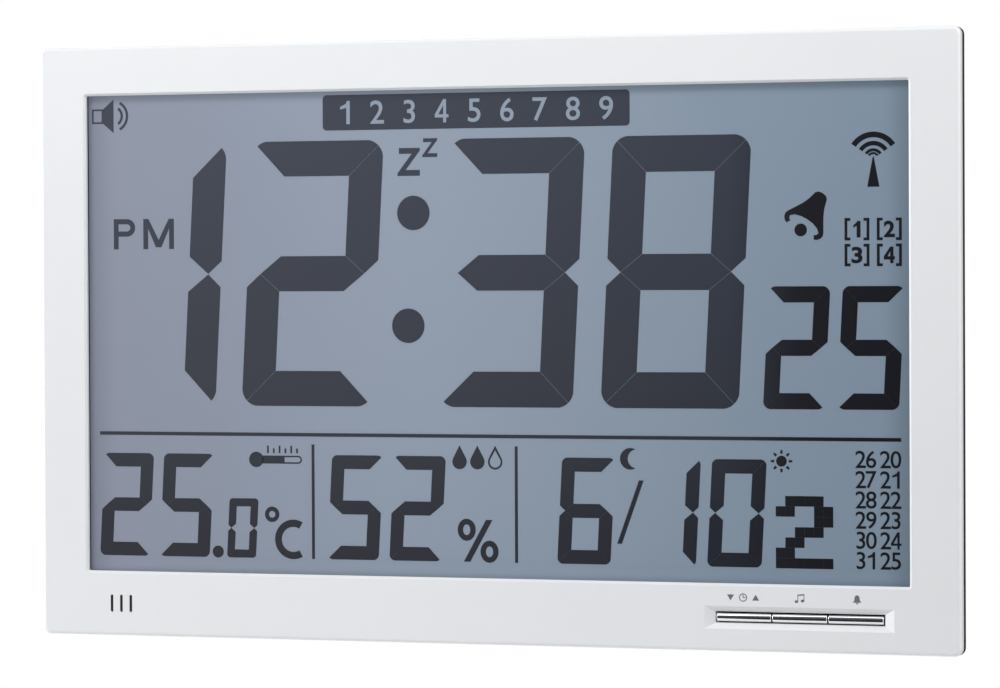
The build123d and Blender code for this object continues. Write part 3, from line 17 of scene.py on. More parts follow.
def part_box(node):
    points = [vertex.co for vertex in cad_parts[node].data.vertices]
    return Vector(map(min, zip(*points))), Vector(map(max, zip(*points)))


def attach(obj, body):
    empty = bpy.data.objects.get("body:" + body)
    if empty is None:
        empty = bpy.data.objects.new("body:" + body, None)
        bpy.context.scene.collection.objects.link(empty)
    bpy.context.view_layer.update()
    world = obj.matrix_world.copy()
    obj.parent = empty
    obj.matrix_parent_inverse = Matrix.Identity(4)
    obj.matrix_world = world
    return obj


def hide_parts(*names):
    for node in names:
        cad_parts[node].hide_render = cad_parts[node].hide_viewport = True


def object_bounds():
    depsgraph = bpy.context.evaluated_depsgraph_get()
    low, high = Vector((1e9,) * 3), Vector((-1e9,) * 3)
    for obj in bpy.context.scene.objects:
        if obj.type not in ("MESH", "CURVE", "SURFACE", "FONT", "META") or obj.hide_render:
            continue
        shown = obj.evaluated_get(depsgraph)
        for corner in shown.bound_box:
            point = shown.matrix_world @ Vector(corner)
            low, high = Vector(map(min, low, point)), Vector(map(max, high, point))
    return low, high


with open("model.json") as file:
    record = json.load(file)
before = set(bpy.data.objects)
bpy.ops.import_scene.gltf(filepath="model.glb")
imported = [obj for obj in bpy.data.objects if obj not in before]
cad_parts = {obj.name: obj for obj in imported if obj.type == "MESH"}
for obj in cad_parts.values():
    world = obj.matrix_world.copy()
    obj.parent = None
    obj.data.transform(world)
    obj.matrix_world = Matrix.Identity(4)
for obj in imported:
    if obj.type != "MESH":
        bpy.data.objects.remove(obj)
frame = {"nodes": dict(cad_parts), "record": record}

cad_low, cad_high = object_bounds()
MM = 0.001
print("case in millimetres:", [round(side / MM, 1) for side in cad_high - cad_low])

# %% [markdown]
# ## The camera
# A catalogue picture of a clock is taken with a long lens from a step to its right, level with its middle.
# Its place could be guessed by eye, but the four corners of the case give it exactly: how far the sides lean
# together says how far away the lens was. The camera is aimed from those angles, so that the frame matches.

# %% Aim the camera
IMAGE_WIDTH = 1000
FOCAL_PIXELS = 4095.35
SENSOR_WIDTH = 36.0
CAMERA_AZIMUTH = math.radians(18.773)
CAMERA_ELEVATION = math.radians(0.975)
CAMERA_ROLL = math.radians(-0.269)
CAMERA_DISTANCE = 1.6007
CAMERA_TARGET = Vector((6.77, -30.0, -1.04)) * MM


def clear_bench():
    """Leave edit mode with nothing selected, so that the next operator touches only what it makes."""
    if bpy.context.object and bpy.context.object.mode != "OBJECT":
        bpy.ops.object.mode_set(mode="OBJECT")
    bpy.ops.object.select_all(action="DESELECT")


clear_bench()
bpy.ops.object.camera_add()
camera = bpy.context.object
camera.name = "catalogue_camera"
camera.data.sensor_width = SENSOR_WIDTH
camera.data.lens = SENSOR_WIDTH * FOCAL_PIXELS / IMAGE_WIDTH
backward = Vector((math.sin(CAMERA_AZIMUTH) * math.cos(CAMERA_ELEVATION),
                   -math.cos(CAMERA_AZIMUTH) * math.cos(CAMERA_ELEVATION),
                   math.sin(CAMERA_ELEVATION)))
level = Vector((math.cos(CAMERA_AZIMUTH), math.sin(CAMERA_AZIMUTH), 0.0))
upright = backward.cross(level)
right = math.cos(CAMERA_ROLL) * level + math.sin(CAMERA_ROLL) * upright
up = math.cos(CAMERA_ROLL) * upright - math.sin(CAMERA_ROLL) * level
turned = Matrix((right, up, backward)).transposed()
camera.matrix_world = Matrix.LocRotScale(CAMERA_TARGET + backward * CAMERA_DISTANCE, turned, None)
bpy.context.scene.camera = camera
bpy.context.scene.view_settings.view_transform = "Standard"
print("camera stands at", [round(place, 3) for place in camera.location], "lens", round(camera.data.lens, 1))

# %% [markdown]
# ## Studio light
# The clock hangs before white paper in a tent of soft light. One strong lamp would be simpler, but it would
# leave the border's slopes dark; so lights stand all round. A large one high in front brightens what faces
# up, a strip close above lets its light fall off down the border, and one on each side, stronger on the
# left, finds the bevels. They stay well in front of the case, because a lamp right above it would burn the
# rounded top edge into the paper. One more, on its right, brightens the white side without touching the
# front, and one behind it shows the black back.
# The strip and the left light only fill: they cast no shadow, because the border's lip would shade the
# display, and the strip stays out of the mirror image in the chrome.
# The world is white to the eye, to gloss and to glass, and dimmer as a light, so that pale plastic keeps
# its tone.

# %% Light the world
ROOM_LIGHT = 0.165
ROOM_TINT = (0.97, 0.985, 1.0, 1.0)
PAPER_LIGHT = 1.0
PAPER_TINT = (1.0, 1.0, 1.0, 1.0)


def fill(tree, node, entries):
    """Give a node's entries their values, or wire them where another node's socket is given."""
    for entry, given in entries.items():
        if isinstance(given, bpy.types.NodeSocket):
            tree.links.new(given, node.inputs[entry])
        else:
            node.inputs[entry].default_value = given


def add_node(tree, kind, entries=None, **settings):
    """A new node in a tree, with its settings made and its entries filled."""
    made = tree.nodes.new(kind)
    for key, value in settings.items():
        setattr(made, key, value)
    fill(tree, made, entries or {})
    return made


def reckon(tree, operation, *values):
    """A sum, a product or the like of values and sockets, as a socket."""
    return add_node(tree, "ShaderNodeMath", dict(enumerate(values)), operation=operation).outputs[0]


world = bpy.context.scene.world or bpy.data.worlds.new("studio")
bpy.context.scene.world = world
world.use_nodes = True
sky = world.node_tree
sky.nodes.clear()
light_path = add_node(sky, "ShaderNodeLightPath").outputs
seen_or_glossy = reckon(sky, "MAXIMUM", light_path["Is Camera Ray"], light_path["Is Glossy Ray"])
seen_any_way = reckon(sky, "MAXIMUM", seen_or_glossy, light_path["Is Transmission Ray"])
lit_room = add_node(sky, "ShaderNodeBackground", {"Color": ROOM_TINT, "Strength": ROOM_LIGHT}).outputs[0]
white_paper = add_node(sky, "ShaderNodeBackground", {"Color": PAPER_TINT, "Strength": PAPER_LIGHT}).outputs[0]
choice = add_node(sky, "ShaderNodeMixShader", {0: seen_any_way, 1: lit_room, 2: white_paper}).outputs[0]
add_node(sky, "ShaderNodeOutputWorld", {"Surface": choice})
print("room light", ROOM_LIGHT, "paper", PAPER_LIGHT)

# %% Hang the soft lights
CLOCK_MIDDLE = (cad_low + cad_high) / 2
# name, place, width, height and watts of each
SOFT_LIGHTS = [
    ("overhead_light", (0.0, -0.76, 0.78), 0.9, 0.5, 2.15),
    ("near_light", (0.0, -0.38, 0.42), 1.0, 0.10, 1.55),
    ("window_light", (-0.62, -0.85, 0.62), 0.60, 0.60, 1.6),
    ("left_light", (-1.2, -0.25, 0.15), 0.5, 0.5, 9.0),
    ("right_light", (0.85, -0.40, 0.45), 0.4, 0.4, 2.1),
    ("side_light", (0.9, 0.05, 0.40), 0.4, 0.4, 2.9),
    ("back_light", (-0.6, 1.1, 0.45), 0.8, 0.8, 15.0),
]


def soft_light(name, place, width, height, watts):
    """A soft rectangle of light that faces the clock."""
    clear_bench()
    bpy.ops.object.light_add(type="AREA", location=place)
    lamp = bpy.context.object
    lamp.name = name
    lamp.data.shape = "RECTANGLE"
    lamp.data.size = width
    lamp.data.size_y = height
    lamp.data.energy = watts
    toward = CLOCK_MIDDLE - Vector(place)
    lamp.rotation_mode = "QUATERNION"
    lamp.rotation_quaternion = toward.to_track_quat("-Z", "Y")
    print(name, "at", round(toward.length, 2), "m with", watts, "W")
    return lamp


lamps = {row[0]: soft_light(*row) for row in SOFT_LIGHTS}
for filler in ("near_light", "left_light"):
    lamps[filler].data.use_shadow = False
lamps["near_light"].visible_glossy = False

# %% [markdown]
# ## Floor and cards
# The clock hangs above a pale floor. A floor that filled the view would put a horizon behind the case, so it
# is a disc that fades out before the lens meets it, and it keeps the clock's shadow. Two cards stand for the
# dim room: chrome without something dark to mirror looks like white paint, and black plastic at a slant
# would look grey. They could be painted into the finishes instead, but then they would not move as a real
# mirror image does.

# %% Finish the floor
FLOOR_RADIUS = 0.9
FLOOR_FADE = 0.45
FLOOR_TONE = (0.86, 0.86, 0.87, 1.0)
PAPER_ROUGHNESS = 0.9


def shaded(name):
    """A new material: itself, its tree of nodes and its shader."""
    finish = bpy.data.materials.new(name)
    finish.use_nodes = True
    return finish, finish.node_tree, finish.node_tree.nodes["Principled BSDF"]


def object_point(tree):
    """Where a shaded point lies on its piece, as a socket."""
    return add_node(tree, "ShaderNodeTexCoord").outputs["Object"]


def reach_along(tree, point, axes):
    """How far a point lies from the middle, along the axes that are 1 and not along those that are 0."""
    flat = add_node(tree, "ShaderNodeVectorMath", {0: point, 1: axes}, operation="MULTIPLY").outputs[0]
    return add_node(tree, "ShaderNodeVectorMath", {0: flat}, operation="LENGTH").outputs["Value"]


def spread(tree, value, low, high, start=0.0, end=1.0, kind="LINEAR"):
    """A value laid from one range onto another and held at its ends, as a socket."""
    entries = {"Value": value, "From Min": low, "From Max": high, "To Min": start, "To Max": end}
    return add_node(tree, "ShaderNodeMapRange", entries, interpolation_type=kind).outputs["Result"]


floor_finish, floor_tree, floor_shader = shaded("pale_floor")
floor_reach = reach_along(floor_tree, object_point(floor_tree), (1.0, 1.0, 0.0))
floor_fade = spread(floor_tree, floor_reach, FLOOR_RADIUS - FLOOR_FADE, FLOOR_RADIUS, 1.0, 0.0, "SMOOTHSTEP")
floor_below = add_node(floor_tree, "ShaderNodeNewGeometry").outputs["Backfacing"]
floor_above = reckon(floor_tree, "SUBTRACT", 1.0, floor_below)
floor_seen = reckon(floor_tree, "MULTIPLY", floor_fade, floor_above)
fill(floor_tree, floor_shader, {"Base Color": FLOOR_TONE, "Roughness": PAPER_ROUGHNESS, "Alpha": floor_seen})
print("floor fades out over", FLOOR_FADE, "m")

# %% Lay the floor
FLOOR_DROP = 0.14
FLOOR_SIDES = 96

clear_bench()
bpy.ops.mesh.primitive_circle_add(vertices=FLOOR_SIDES, radius=FLOOR_RADIUS, fill_type="NGON",
                                  location=(0, 0, cad_low.z - FLOOR_DROP))
floor = bpy.context.object
floor.name = "pale_floor"
bpy.ops.object.mode_set(mode="EDIT")
bpy.ops.mesh.inset(thickness=FLOOR_FADE)
bpy.ops.object.mode_set(mode="OBJECT")
bpy.ops.object.transform_apply(location=True)
floor.data.materials.append(floor_finish)
floor.visible_glossy = False
print("floor", round(cad_low.z - FLOOR_DROP, 3), "radius", FLOOR_RADIUS)

# %% Stand the dark cards
CARD_DARK = (0.012, 0.012, 0.014)
CARD_GREY = (0.22, 0.225, 0.235)
CARD_CUTS = 3


def object_axes(tree):
    """The same point taken apart into X, Y and Z, as sockets."""
    return add_node(tree, "ShaderNodeSeparateXYZ", {0: object_point(tree)}).outputs


def ramp_of(tree, value, *stops, kind="LINEAR"):
    """A colour that runs through the given places and colours as a value rises, as a socket."""
    ramp = add_node(tree, "ShaderNodeValToRGB", {"Fac": value})
    ramp.color_ramp.interpolation = kind
    while len(ramp.color_ramp.elements) < len(stops):
        ramp.color_ramp.elements.new(0.5)
    for element, (place, colour) in zip(ramp.color_ramp.elements, stops):
        element.position = place
        element.color = (*colour, 1.0)
    return ramp.outputs["Color"]


def mirror_card(name, low, high, dark_share):
    """An upright card that only mirror images show, dark below and grey above."""
    clear_bench()
    bpy.ops.mesh.primitive_plane_add(size=1.0)
    card = bpy.context.object
    card.name = name
    bpy.ops.object.mode_set(mode="EDIT")
    bpy.ops.transform.resize(value=(high.x - low.x, high.z - low.z, 1.0))
    bpy.ops.mesh.subdivide(number_cuts=CARD_CUTS)
    bpy.ops.object.mode_set(mode="OBJECT")
    upright = Matrix.Rotation(math.radians(90 if low.y > 0 else -90), 3, "X")
    card.matrix_world = Matrix.LocRotScale((low + high) / 2, upright, None)
    bpy.ops.object.transform_apply(location=True, rotation=True)
    finish, tree, shader = shaded(name)
    rise = spread(tree, object_axes(tree)["Z"], low.z, high.z)
    tone = ramp_of(tree, rise, (dark_share, CARD_DARK), (1.0, CARD_GREY))
    fill(tree, shader, {"Base Color": tone, "Roughness": PAPER_ROUGHNESS})
    card.data.materials.append(finish)
    card.visible_camera = False
    card.visible_diffuse = False
    card.visible_transmission = False
    card.visible_shadow = False
    print(name, "at", [round(place, 2) for place in (low + high) / 2])


mirror_card("front_card", Vector((-0.08, -0.55, -0.58)), Vector((0.40, -0.55, 0.58)), 0.41)
mirror_card("rear_card", Vector((0.0, 0.80, -0.9)), Vector((1.4, 0.80, 0.9)), 0.95)

# %% [markdown]
# ## Effects that several finishes share
# Moulded plastic has a fine spark-eroded grain, every surface drifts a little in tone, edges rub brighter and
# dust settles on what faces up. Each could be built again in every material; a node group is drawn once and
# placed in each with its own values, so that a change of the grain reaches every piece.

# %% Build the shared groups
GRAIN_DETAIL = 3.0
DRIFT_DETAIL = 4.0
DRIFT_MIDDLE = 0.5
EDGE_SAMPLES = 4
EDGE_BEND = (0.98, 0.70)
EDGE_NOISE = 260.0
EDGE_DETAIL = 5.0
DUST_RISE = (0.45, 1.0)
DUST_DETAIL = 6.0


def effect(name, entries, result):
    """A new node group with value entries and one result: its tree, its entries and the result's node."""
    tree = bpy.data.node_groups.new(name, "ShaderNodeTree")
    for label in entries:
        tree.interface.new_socket(label, in_out="INPUT", socket_type="NodeSocketFloat")
    tree.interface.new_socket(result, in_out="OUTPUT", socket_type="NodeSocketFloat")
    return tree, add_node(tree, "NodeGroupInput").outputs, add_node(tree, "NodeGroupOutput")


def noise(tree, point, scale, detail):
    """Noise about a point, as a socket."""
    entries = {"Vector": point, "Scale": scale, "Detail": detail}
    return add_node(tree, "ShaderNodeTexNoise", entries).outputs["Fac"]


def grain_group():
    """Fine moulded grain: soft cells broken up by noise, as a height."""
    tree, given, result = effect("moulded_grain", ("Scale", "Softness"), "Height")
    point = object_point(tree)
    cells = add_node(tree, "ShaderNodeTexVoronoi", {"Vector": point, "Scale": given["Scale"]},
                     feature="SMOOTH_F1").outputs["Distance"]
    speckle = noise(tree, point, given["Scale"], GRAIN_DETAIL)
    blend = add_node(tree, "ShaderNodeMix", {"Factor": given["Softness"], "A": cells, "B": speckle},
                     data_type="FLOAT")
    fill(tree, result, {"Height": blend.outputs["Result"]})
    return tree


def drift_group():
    """Slow change of tone over a surface, as a factor about one."""
    tree, given, result = effect("tone_drift", ("Scale", "Amount"), "Factor")
    cloud = noise(tree, object_point(tree), given["Scale"], DRIFT_DETAIL)
    centred = reckon(tree, "SUBTRACT", cloud, DRIFT_MIDDLE)
    fill(tree, result, {"Factor": reckon(tree, "MULTIPLY_ADD", centred, given["Amount"], 1.0)})
    return tree


def edge_group():
    """Rubbed edges: where a rounded normal leaves the true one, broken up by noise, as a mask."""
    tree, given, result = effect("rubbed_edges", ("Radius", "Amount"), "Mask")
    rounded = add_node(tree, "ShaderNodeBevel", {"Radius": given["Radius"]}, samples=EDGE_SAMPLES).outputs[0]
    true = add_node(tree, "ShaderNodeNewGeometry").outputs["Normal"]
    agree = add_node(tree, "ShaderNodeVectorMath", {0: rounded, 1: true}, operation="DOT_PRODUCT")
    bent = spread(tree, agree.outputs["Value"], *EDGE_BEND)
    broken = reckon(tree, "MULTIPLY", bent, noise(tree, object_point(tree), EDGE_NOISE, EDGE_DETAIL))
    fill(tree, result, {"Mask": reckon(tree, "MULTIPLY", broken, given["Amount"])})
    return tree


def dust_group():
    """Dust on what faces up, in patches, as a mask."""
    tree, given, result = effect("settled_dust", ("Scale", "Amount"), "Mask")
    facing = add_node(tree, "ShaderNodeNewGeometry").outputs["Normal"]
    upward = add_node(tree, "ShaderNodeSeparateXYZ", {0: facing}).outputs["Z"]
    cloud = noise(tree, object_point(tree), given["Scale"], DUST_DETAIL)
    patches = reckon(tree, "MULTIPLY", spread(tree, upward, *DUST_RISE), cloud)
    fill(tree, result, {"Mask": reckon(tree, "MULTIPLY", patches, given["Amount"])})
    return tree


MOULDED_GRAIN = grain_group()
TONE_DRIFT = drift_group()
RUBBED_EDGES = edge_group()
SETTLED_DUST = dust_group()
print("shared effects:", ", ".join(group.name for group in bpy.data.node_groups))

# %% [markdown]
# ## Finishes
# Each slot of the record is one material of the real clock. A colour alone would make them all look like
# paint, so the helpers below build families: moulded plastic, metal and rubber each get grain, drift and
# wear of their own.

# %% Families of finishes
MIX_A, MIX_B, MIX_COLOUR = 6, 7, 2        # the Mix node lists its colour sockets after other kinds
PLASTIC_DRIFT = {"Scale": 9.0, "Amount": 0.05}
PLASTIC_EDGE = 0.5 * MM
PLASTIC_SOFTNESS = 0.5
PLASTIC_STRENGTH = 0.6
WORN_GAIN, WORN_LIFT = 1.15, 0.03
DUST_COLOUR = (0.42, 0.41, 0.39)
DUST_SCALE = 70.0
METAL_DRIFT = {"Scale": 40.0, "Amount": 0.08}
METAL_DETAIL = 4.0
METAL_STRENGTH = 0.4
POLISH = (0.7, 1.3)
RUBBER_DEPTH = 0.04 * MM
RUBBER_WEAR = 0.25
RUBBER_DUST = 0.10
RUBBER_GLOSS = 0.35


def place_effect(tree, group, **entries):
    """One of the shared groups in a material, with its own values, as its result's socket."""
    return add_node(tree, "ShaderNodeGroup", entries, node_tree=group).outputs[0]


def blended(tree, factor, *colours):
    """A mix of two colours by a factor; each is a plain colour or a socket."""
    first, second = [(*colour, 1.0) if isinstance(colour, tuple) else colour for colour in colours]
    entries = {"Factor": factor, MIX_A: first, MIX_B: second}
    return add_node(tree, "ShaderNodeMix", entries, data_type="RGBA").outputs[MIX_COLOUR]


def tinted(tree, colour, factor):
    """A colour made darker or lighter by a factor, as a socket."""
    return add_node(tree, "ShaderNodeVectorMath", {0: colour, "Scale": factor}, operation="SCALE").outputs[0]


def bumped(tree, height, distance, strength=1.0, invert=False):
    """A normal that follows a height, as a socket."""
    entries = {"Height": height, "Distance": distance, "Strength": strength}
    return add_node(tree, "ShaderNodeBump", entries, invert=invert).outputs["Normal"]


def moulded(name, colour, roughness, grain, depth, wear, dust):
    """Moulded plastic: grain of the tool, tone drift, rubbed edges and a little dust."""
    finish, tree, shader = shaded(name)
    drift = place_effect(tree, TONE_DRIFT, **PLASTIC_DRIFT)
    edges = place_effect(tree, RUBBED_EDGES, Radius=PLASTIC_EDGE, Amount=wear)
    dusty = place_effect(tree, SETTLED_DUST, Scale=DUST_SCALE, Amount=dust)
    skin = place_effect(tree, MOULDED_GRAIN, Scale=grain, Softness=PLASTIC_SOFTNESS)
    worn_colour = tuple(min(1.0, part * WORN_GAIN + WORN_LIFT) for part in colour)
    worn = blended(tree, edges, tinted(tree, colour, drift), worn_colour)
    fill(tree, shader, {"Base Color": blended(tree, dusty, worn, DUST_COLOUR),
                        "Roughness": reckon(tree, "MULTIPLY", drift, roughness),
                        "Normal": bumped(tree, skin, depth, PLASTIC_STRENGTH)})
    return finish


def metal(name, colour, roughness, scratch, depth, along):
    """Metal: fine scratches drawn along one way, which also change its polish, and a drift in tone."""
    finish, tree, shader = shaded(name)
    stretch = add_node(tree, "ShaderNodeMapping", {"Vector": object_point(tree), "Scale": along}).outputs[0]
    lines = noise(tree, stretch, scratch, METAL_DETAIL)
    bright, dull = [roughness * share for share in POLISH]
    fill(tree, shader, {"Base Color": tinted(tree, colour, place_effect(tree, TONE_DRIFT, **METAL_DRIFT)),
                        "Roughness": spread(tree, lines, 0.0, 1.0, bright, dull),
                        "Normal": bumped(tree, lines, depth, METAL_STRENGTH),
                        "Metallic": 1.0})
    return finish


def rubber(name, colour, roughness, grain):
    """Rubber and soft insulation: matt, with a fine skin and pale rubbed edges."""
    finish = moulded(name, colour, roughness, grain, RUBBER_DEPTH, RUBBER_WEAR, RUBBER_DUST)
    finish.node_tree.nodes["Principled BSDF"].inputs["Specular IOR Level"].default_value = RUBBER_GLOSS
    return finish


print("families:", ", ".join(family.__name__ for family in (moulded, metal, rubber)))

# %% Mix the families
# name, colour, roughness, grain's scale and depth, wear and dust of each
PLASTICS = [
    ("inner_plastic", (0.62, 0.62, 0.58), 0.45, 900.0, 0.03 * MM, 0.2, 0.05),
    ("plunger_plastic", (0.05, 0.05, 0.055), 0.4, 1400.0, 0.03 * MM, 0.3, 0.03),
    ("switch_plastic", (0.04, 0.04, 0.045), 0.42, 1400.0, 0.04 * MM, 0.3, 0.05),
    ("epoxy", (0.012, 0.012, 0.013), 0.18, 300.0, 0.08 * MM, 0.1, 0.02),
    ("ferrite", (0.055, 0.055, 0.060), 0.6, 2400.0, 0.06 * MM, 0.5, 0.05),
    ("sensor_ceramic", (0.78, 0.78, 0.75), 0.4, 1600.0, 0.03 * MM, 0.1, 0.02),
    ("cell_wrap", (0.020, 0.075, 0.165), 0.28, 700.0, 0.006 * MM, 0.2, 0.0),
]
# name, colour, roughness, scratches' scale and depth, and the way they are drawn
EVEN_WAY = (1.0, 1.0, 1.0)
METALS = [
    ("screw_steel", (0.60, 0.60, 0.61), 0.32, 900.0, 0.02 * MM, EVEN_WAY),
    ("black_screw", (0.06, 0.06, 0.065), 0.42, 900.0, 0.03 * MM, EVEN_WAY),
    ("can_metal", (0.36, 0.37, 0.41), 0.30, 700.0, 0.02 * MM, (1.0, 0.1, 1.0)),
    ("contact_metal", (0.68, 0.66, 0.62), 0.28, 800.0, 0.02 * MM, (1.0, 0.15, 1.0)),
    ("frame_metal", (0.48, 0.48, 0.49), 0.38, 600.0, 0.03 * MM, EVEN_WAY),
    ("silver_foil", (0.72, 0.73, 0.75), 0.35, 300.0, 0.05 * MM, (0.1, 1.0, 1.0)),
]
# name, colour, roughness and scale of the skin
RUBBERS = [
    ("black_seal", (0.018, 0.018, 0.02), 0.75, 2200.0),
    ("grey_rubber", (0.11, 0.11, 0.12), 0.7, 2000.0),
    ("lead_grey", (0.30, 0.30, 0.31), 0.5, 1800.0),
    ("lead_red", (0.42, 0.03, 0.028), 0.45, 1800.0),
]

finishes = {}
for family, rows in ((moulded, PLASTICS), (metal, METALS), (rubber, RUBBERS)):
    for row in rows:
        finishes[row[0]] = family(*row)
print("mixed", len(finishes), "finishes")

# %% [markdown]
# ## Air slots
# Air reaches the sensor through three slots in the border, with black foam behind them. White walls in such
# narrow slots would show as pale rims and thin the black lines, so the white finish carries painted shade on
# the slot walls, in place of the shade that fills them. The foam's own box says where the slots are, so the
# white finish darkens inside that box, just below the surface.

# %% Paint shade into the slots
FOAM_LOW, FOAM_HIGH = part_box("dust_filter")
BORDER_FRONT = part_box("front_bezel")[0].y
BORDER_WHITE = (0.80, 0.815, 0.83)
SLOT_EDGE = 0.08 * MM
# painted shade: near black on the slot walls, where shade falls
SLOT_PAINTED_SHADE = (0.016, 0.016, 0.017)


def reopened(finish):
    """A finish taken up again: its tree, its shader and the socket of its colour so far."""
    shader = finish.node_tree.nodes["Principled BSDF"]
    return finish.node_tree, shader, shader.inputs["Base Color"].links[0].from_socket


def within(tree, value, low, high):
    """1 where a value lies between two bounds, 0 elsewhere."""
    return reckon(tree, "COMPARE", value, (low + high) / 2, (high - low) / 2)


def border_finish():
    """White moulding with painted shade on the walls of its air slots."""
    finish = moulded("white_shell", BORDER_WHITE, 0.34, 1100.0, 0.012 * MM, 0.0, 0.0)
    tree, shader, white = reopened(finish)
    axes = object_axes(tree)
    over_foam = reckon(tree, "MULTIPLY", within(tree, axes["X"], FOAM_LOW.x, FOAM_HIGH.x),
                       within(tree, axes["Z"], FOAM_LOW.z, FOAM_HIGH.z))
    below = within(tree, axes["Y"], BORDER_FRONT + SLOT_EDGE, FOAM_HIGH.y)
    slot_shade_mask = reckon(tree, "MULTIPLY", below, over_foam)
    fill(tree, shader, {"Base Color": blended(tree, slot_shade_mask, white, SLOT_PAINTED_SHADE)})
    return finish


finishes["white_shell"] = border_finish()
print("slots darken", round(SLOT_EDGE / MM, 2), "mm below the surface")

# %% [markdown]
# ## The black back
# The back is one black moulding. Its band and slopes are darker, and the flat that lies on the wall is paler
# with a coarse speckle: one black in a shaded and a lit tone, painted light that keeps the band as dark as
# shade makes it while the flat still shows. A second material would need a second solid, so one finish changes
# its tone by depth, just before the flat.

# %% Finish the back
BLACK_SLOPE = (0.012, 0.012, 0.014)
# painted light: the flat's black is lifted so that the back shows
BLACK_FLAT_PAINTED_LIGHT = (0.042, 0.042, 0.045)
BLACK_GLOSS = 0.2
FLAT_START = 0.9 * MM
FLAT_END = 0.5 * MM
FLAT_SPECKLE = {"Scale": 1300.0, "Amount": 0.25}


def back_finish():
    """Black moulding, dark on its band and slopes, and painted paler on its flat as a painted lit tone."""
    finish = moulded("black_shell", BLACK_SLOPE, 0.5, 1500.0, 0.10 * MM, 0.12, 0.05)
    tree, shader, slope = reopened(finish)
    flat = tinted(tree, BLACK_FLAT_PAINTED_LIGHT, place_effect(tree, TONE_DRIFT, **FLAT_SPECKLE))
    reached = spread(tree, object_axes(tree)["Y"], cad_high.y - FLAT_START, cad_high.y - FLAT_END)
    fill(tree, shader, {"Base Color": blended(tree, reached, slope, flat), "Specular IOR Level": BLACK_GLOSS})
    return finish


finishes["black_shell"] = back_finish()
print("coarse flat starts", round(FLAT_START / MM, 1), "mm before the wall")

# %% [markdown]
# ## Chromed bars
# The bars are chrome on their rounded front. A little below the edge their finish turns black: painted shade
# for the shadow in the gap round each bar, which draws a dark line round it. A second solid for that would be
# thinner than a hair, so one finish changes from chrome to the painted shade by depth.

# %% Chrome the bars, with painted shade behind the chrome
BAR_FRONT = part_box("mode_button")[0].y
CHROME = (0.86, 0.865, 0.875)
# painted shade: the bar's sides behind the chrome are black for the shadow in the gap round it
BAR_GAP_PAINTED_SHADE = (0.012, 0.012, 0.013)
CHROME_DEPTH = 0.72 * MM


def chrome_finish():
    """Bright chrome in front, and behind it black painted shade for the shadow in the gap round the bar."""
    finish = metal("chromed_bar", CHROME, 0.06, 500.0, 0.001 * MM, (0.1, 1.0, 1.0))
    tree, shader, chrome = reopened(finish)
    plated = reckon(tree, "LESS_THAN", object_axes(tree)["Y"], BAR_FRONT + CHROME_DEPTH)
    fill(tree, shader, {"Base Color": blended(tree, plated, BAR_GAP_PAINTED_SHADE, chrome), "Metallic": plated})
    return finish


finishes["chromed_bar"] = chrome_finish()
print("plated to", round((BAR_FRONT + CHROME_DEPTH) / MM, 2), "mm from the wall")

# %% [markdown]
# ## Display film and ink
# The face of a liquid crystal display is a grey-blue film with a matt, slightly sparkling anti-glare skin;
# its active bars are dark under the same skin. A flat grey would look like card, so the film's tone changes
# over
# the face: greyer on the left, palest in the middle, bluer and deeper to the right, which is partly painted
# light;
# it has painted shade beside the left and right border and painted light just above the white sill. The ink
# has a
# painted haze of reflected light: paler towards the top, and nearly black on the right where the haze fades.

# %% Finish the display
WINDOW_LOW, WINDOW_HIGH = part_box("lcd_polariser")
FILM_LAP = 4.0 * MM
WINDOW_HALF = (WINDOW_HIGH.x - WINDOW_LOW.x) / 2 - FILM_LAP
WINDOW_SILL = WINDOW_LOW.z + FILM_LAP
FILM_CENTRE = (-0.05, 0.0, 0.03)
FILM_REACH = (0.24, 1.0, 0.30)
# the pale middle that deepens outwards is partly painted light
FILM_PALE = (0.270, 0.318, 0.398)
FILM_DEEP = (0.205, 0.272, 0.345)
FILM_LEFT = (0.240, 0.262, 0.334)
FILM_TURN = (-0.19, -0.01)
FILM_EDGE = 14.0 * MM
# painted shade beside the left and right border, and painted light above the sill
FILM_EDGE_PAINTED_SHADE = 0.83
FILM_SILL = 6.0 * MM
FILM_SILL_PAINTED_LIGHT = 1.16
# painted reflection: the ink's haze, paler towards the top and fading out on the right
INK_PAINTED_HAZE = (0.028, 0.034, 0.053)
INK_MID = (0.020, 0.0245, 0.038)
INK_LOW = (0.0050, 0.0065, 0.0150)
INK_DEEP = (0.0008, 0.0012, 0.0045)
INK_TURN = 0.37
INK_RISE = (-0.075, 0.075)
INK_RIGHT = (0.095, 0.130)
INK_GLOSS = 0.4
SKIN_GRAIN = {"Scale": 5200.0, "Softness": 0.7}
SKIN_DEPTH = 0.01 * MM
SKIN_STRENGTH = 0.25
SKIN_ROUGHNESS = 0.36


def across(tree, low, high):
    """How far a point lies from one place across the clock to another, from 0 to 1."""
    return spread(tree, object_axes(tree)["X"], low, high, kind="SMOOTHSTEP")


def anti_glare(tree, shader):
    """The matt skin over film and ink: a fine sparkle in the normal."""
    skin = place_effect(tree, MOULDED_GRAIN, **SKIN_GRAIN)
    fill(tree, shader, {"Normal": bumped(tree, skin, SKIN_DEPTH, SKIN_STRENGTH), "Roughness": SKIN_ROUGHNESS})


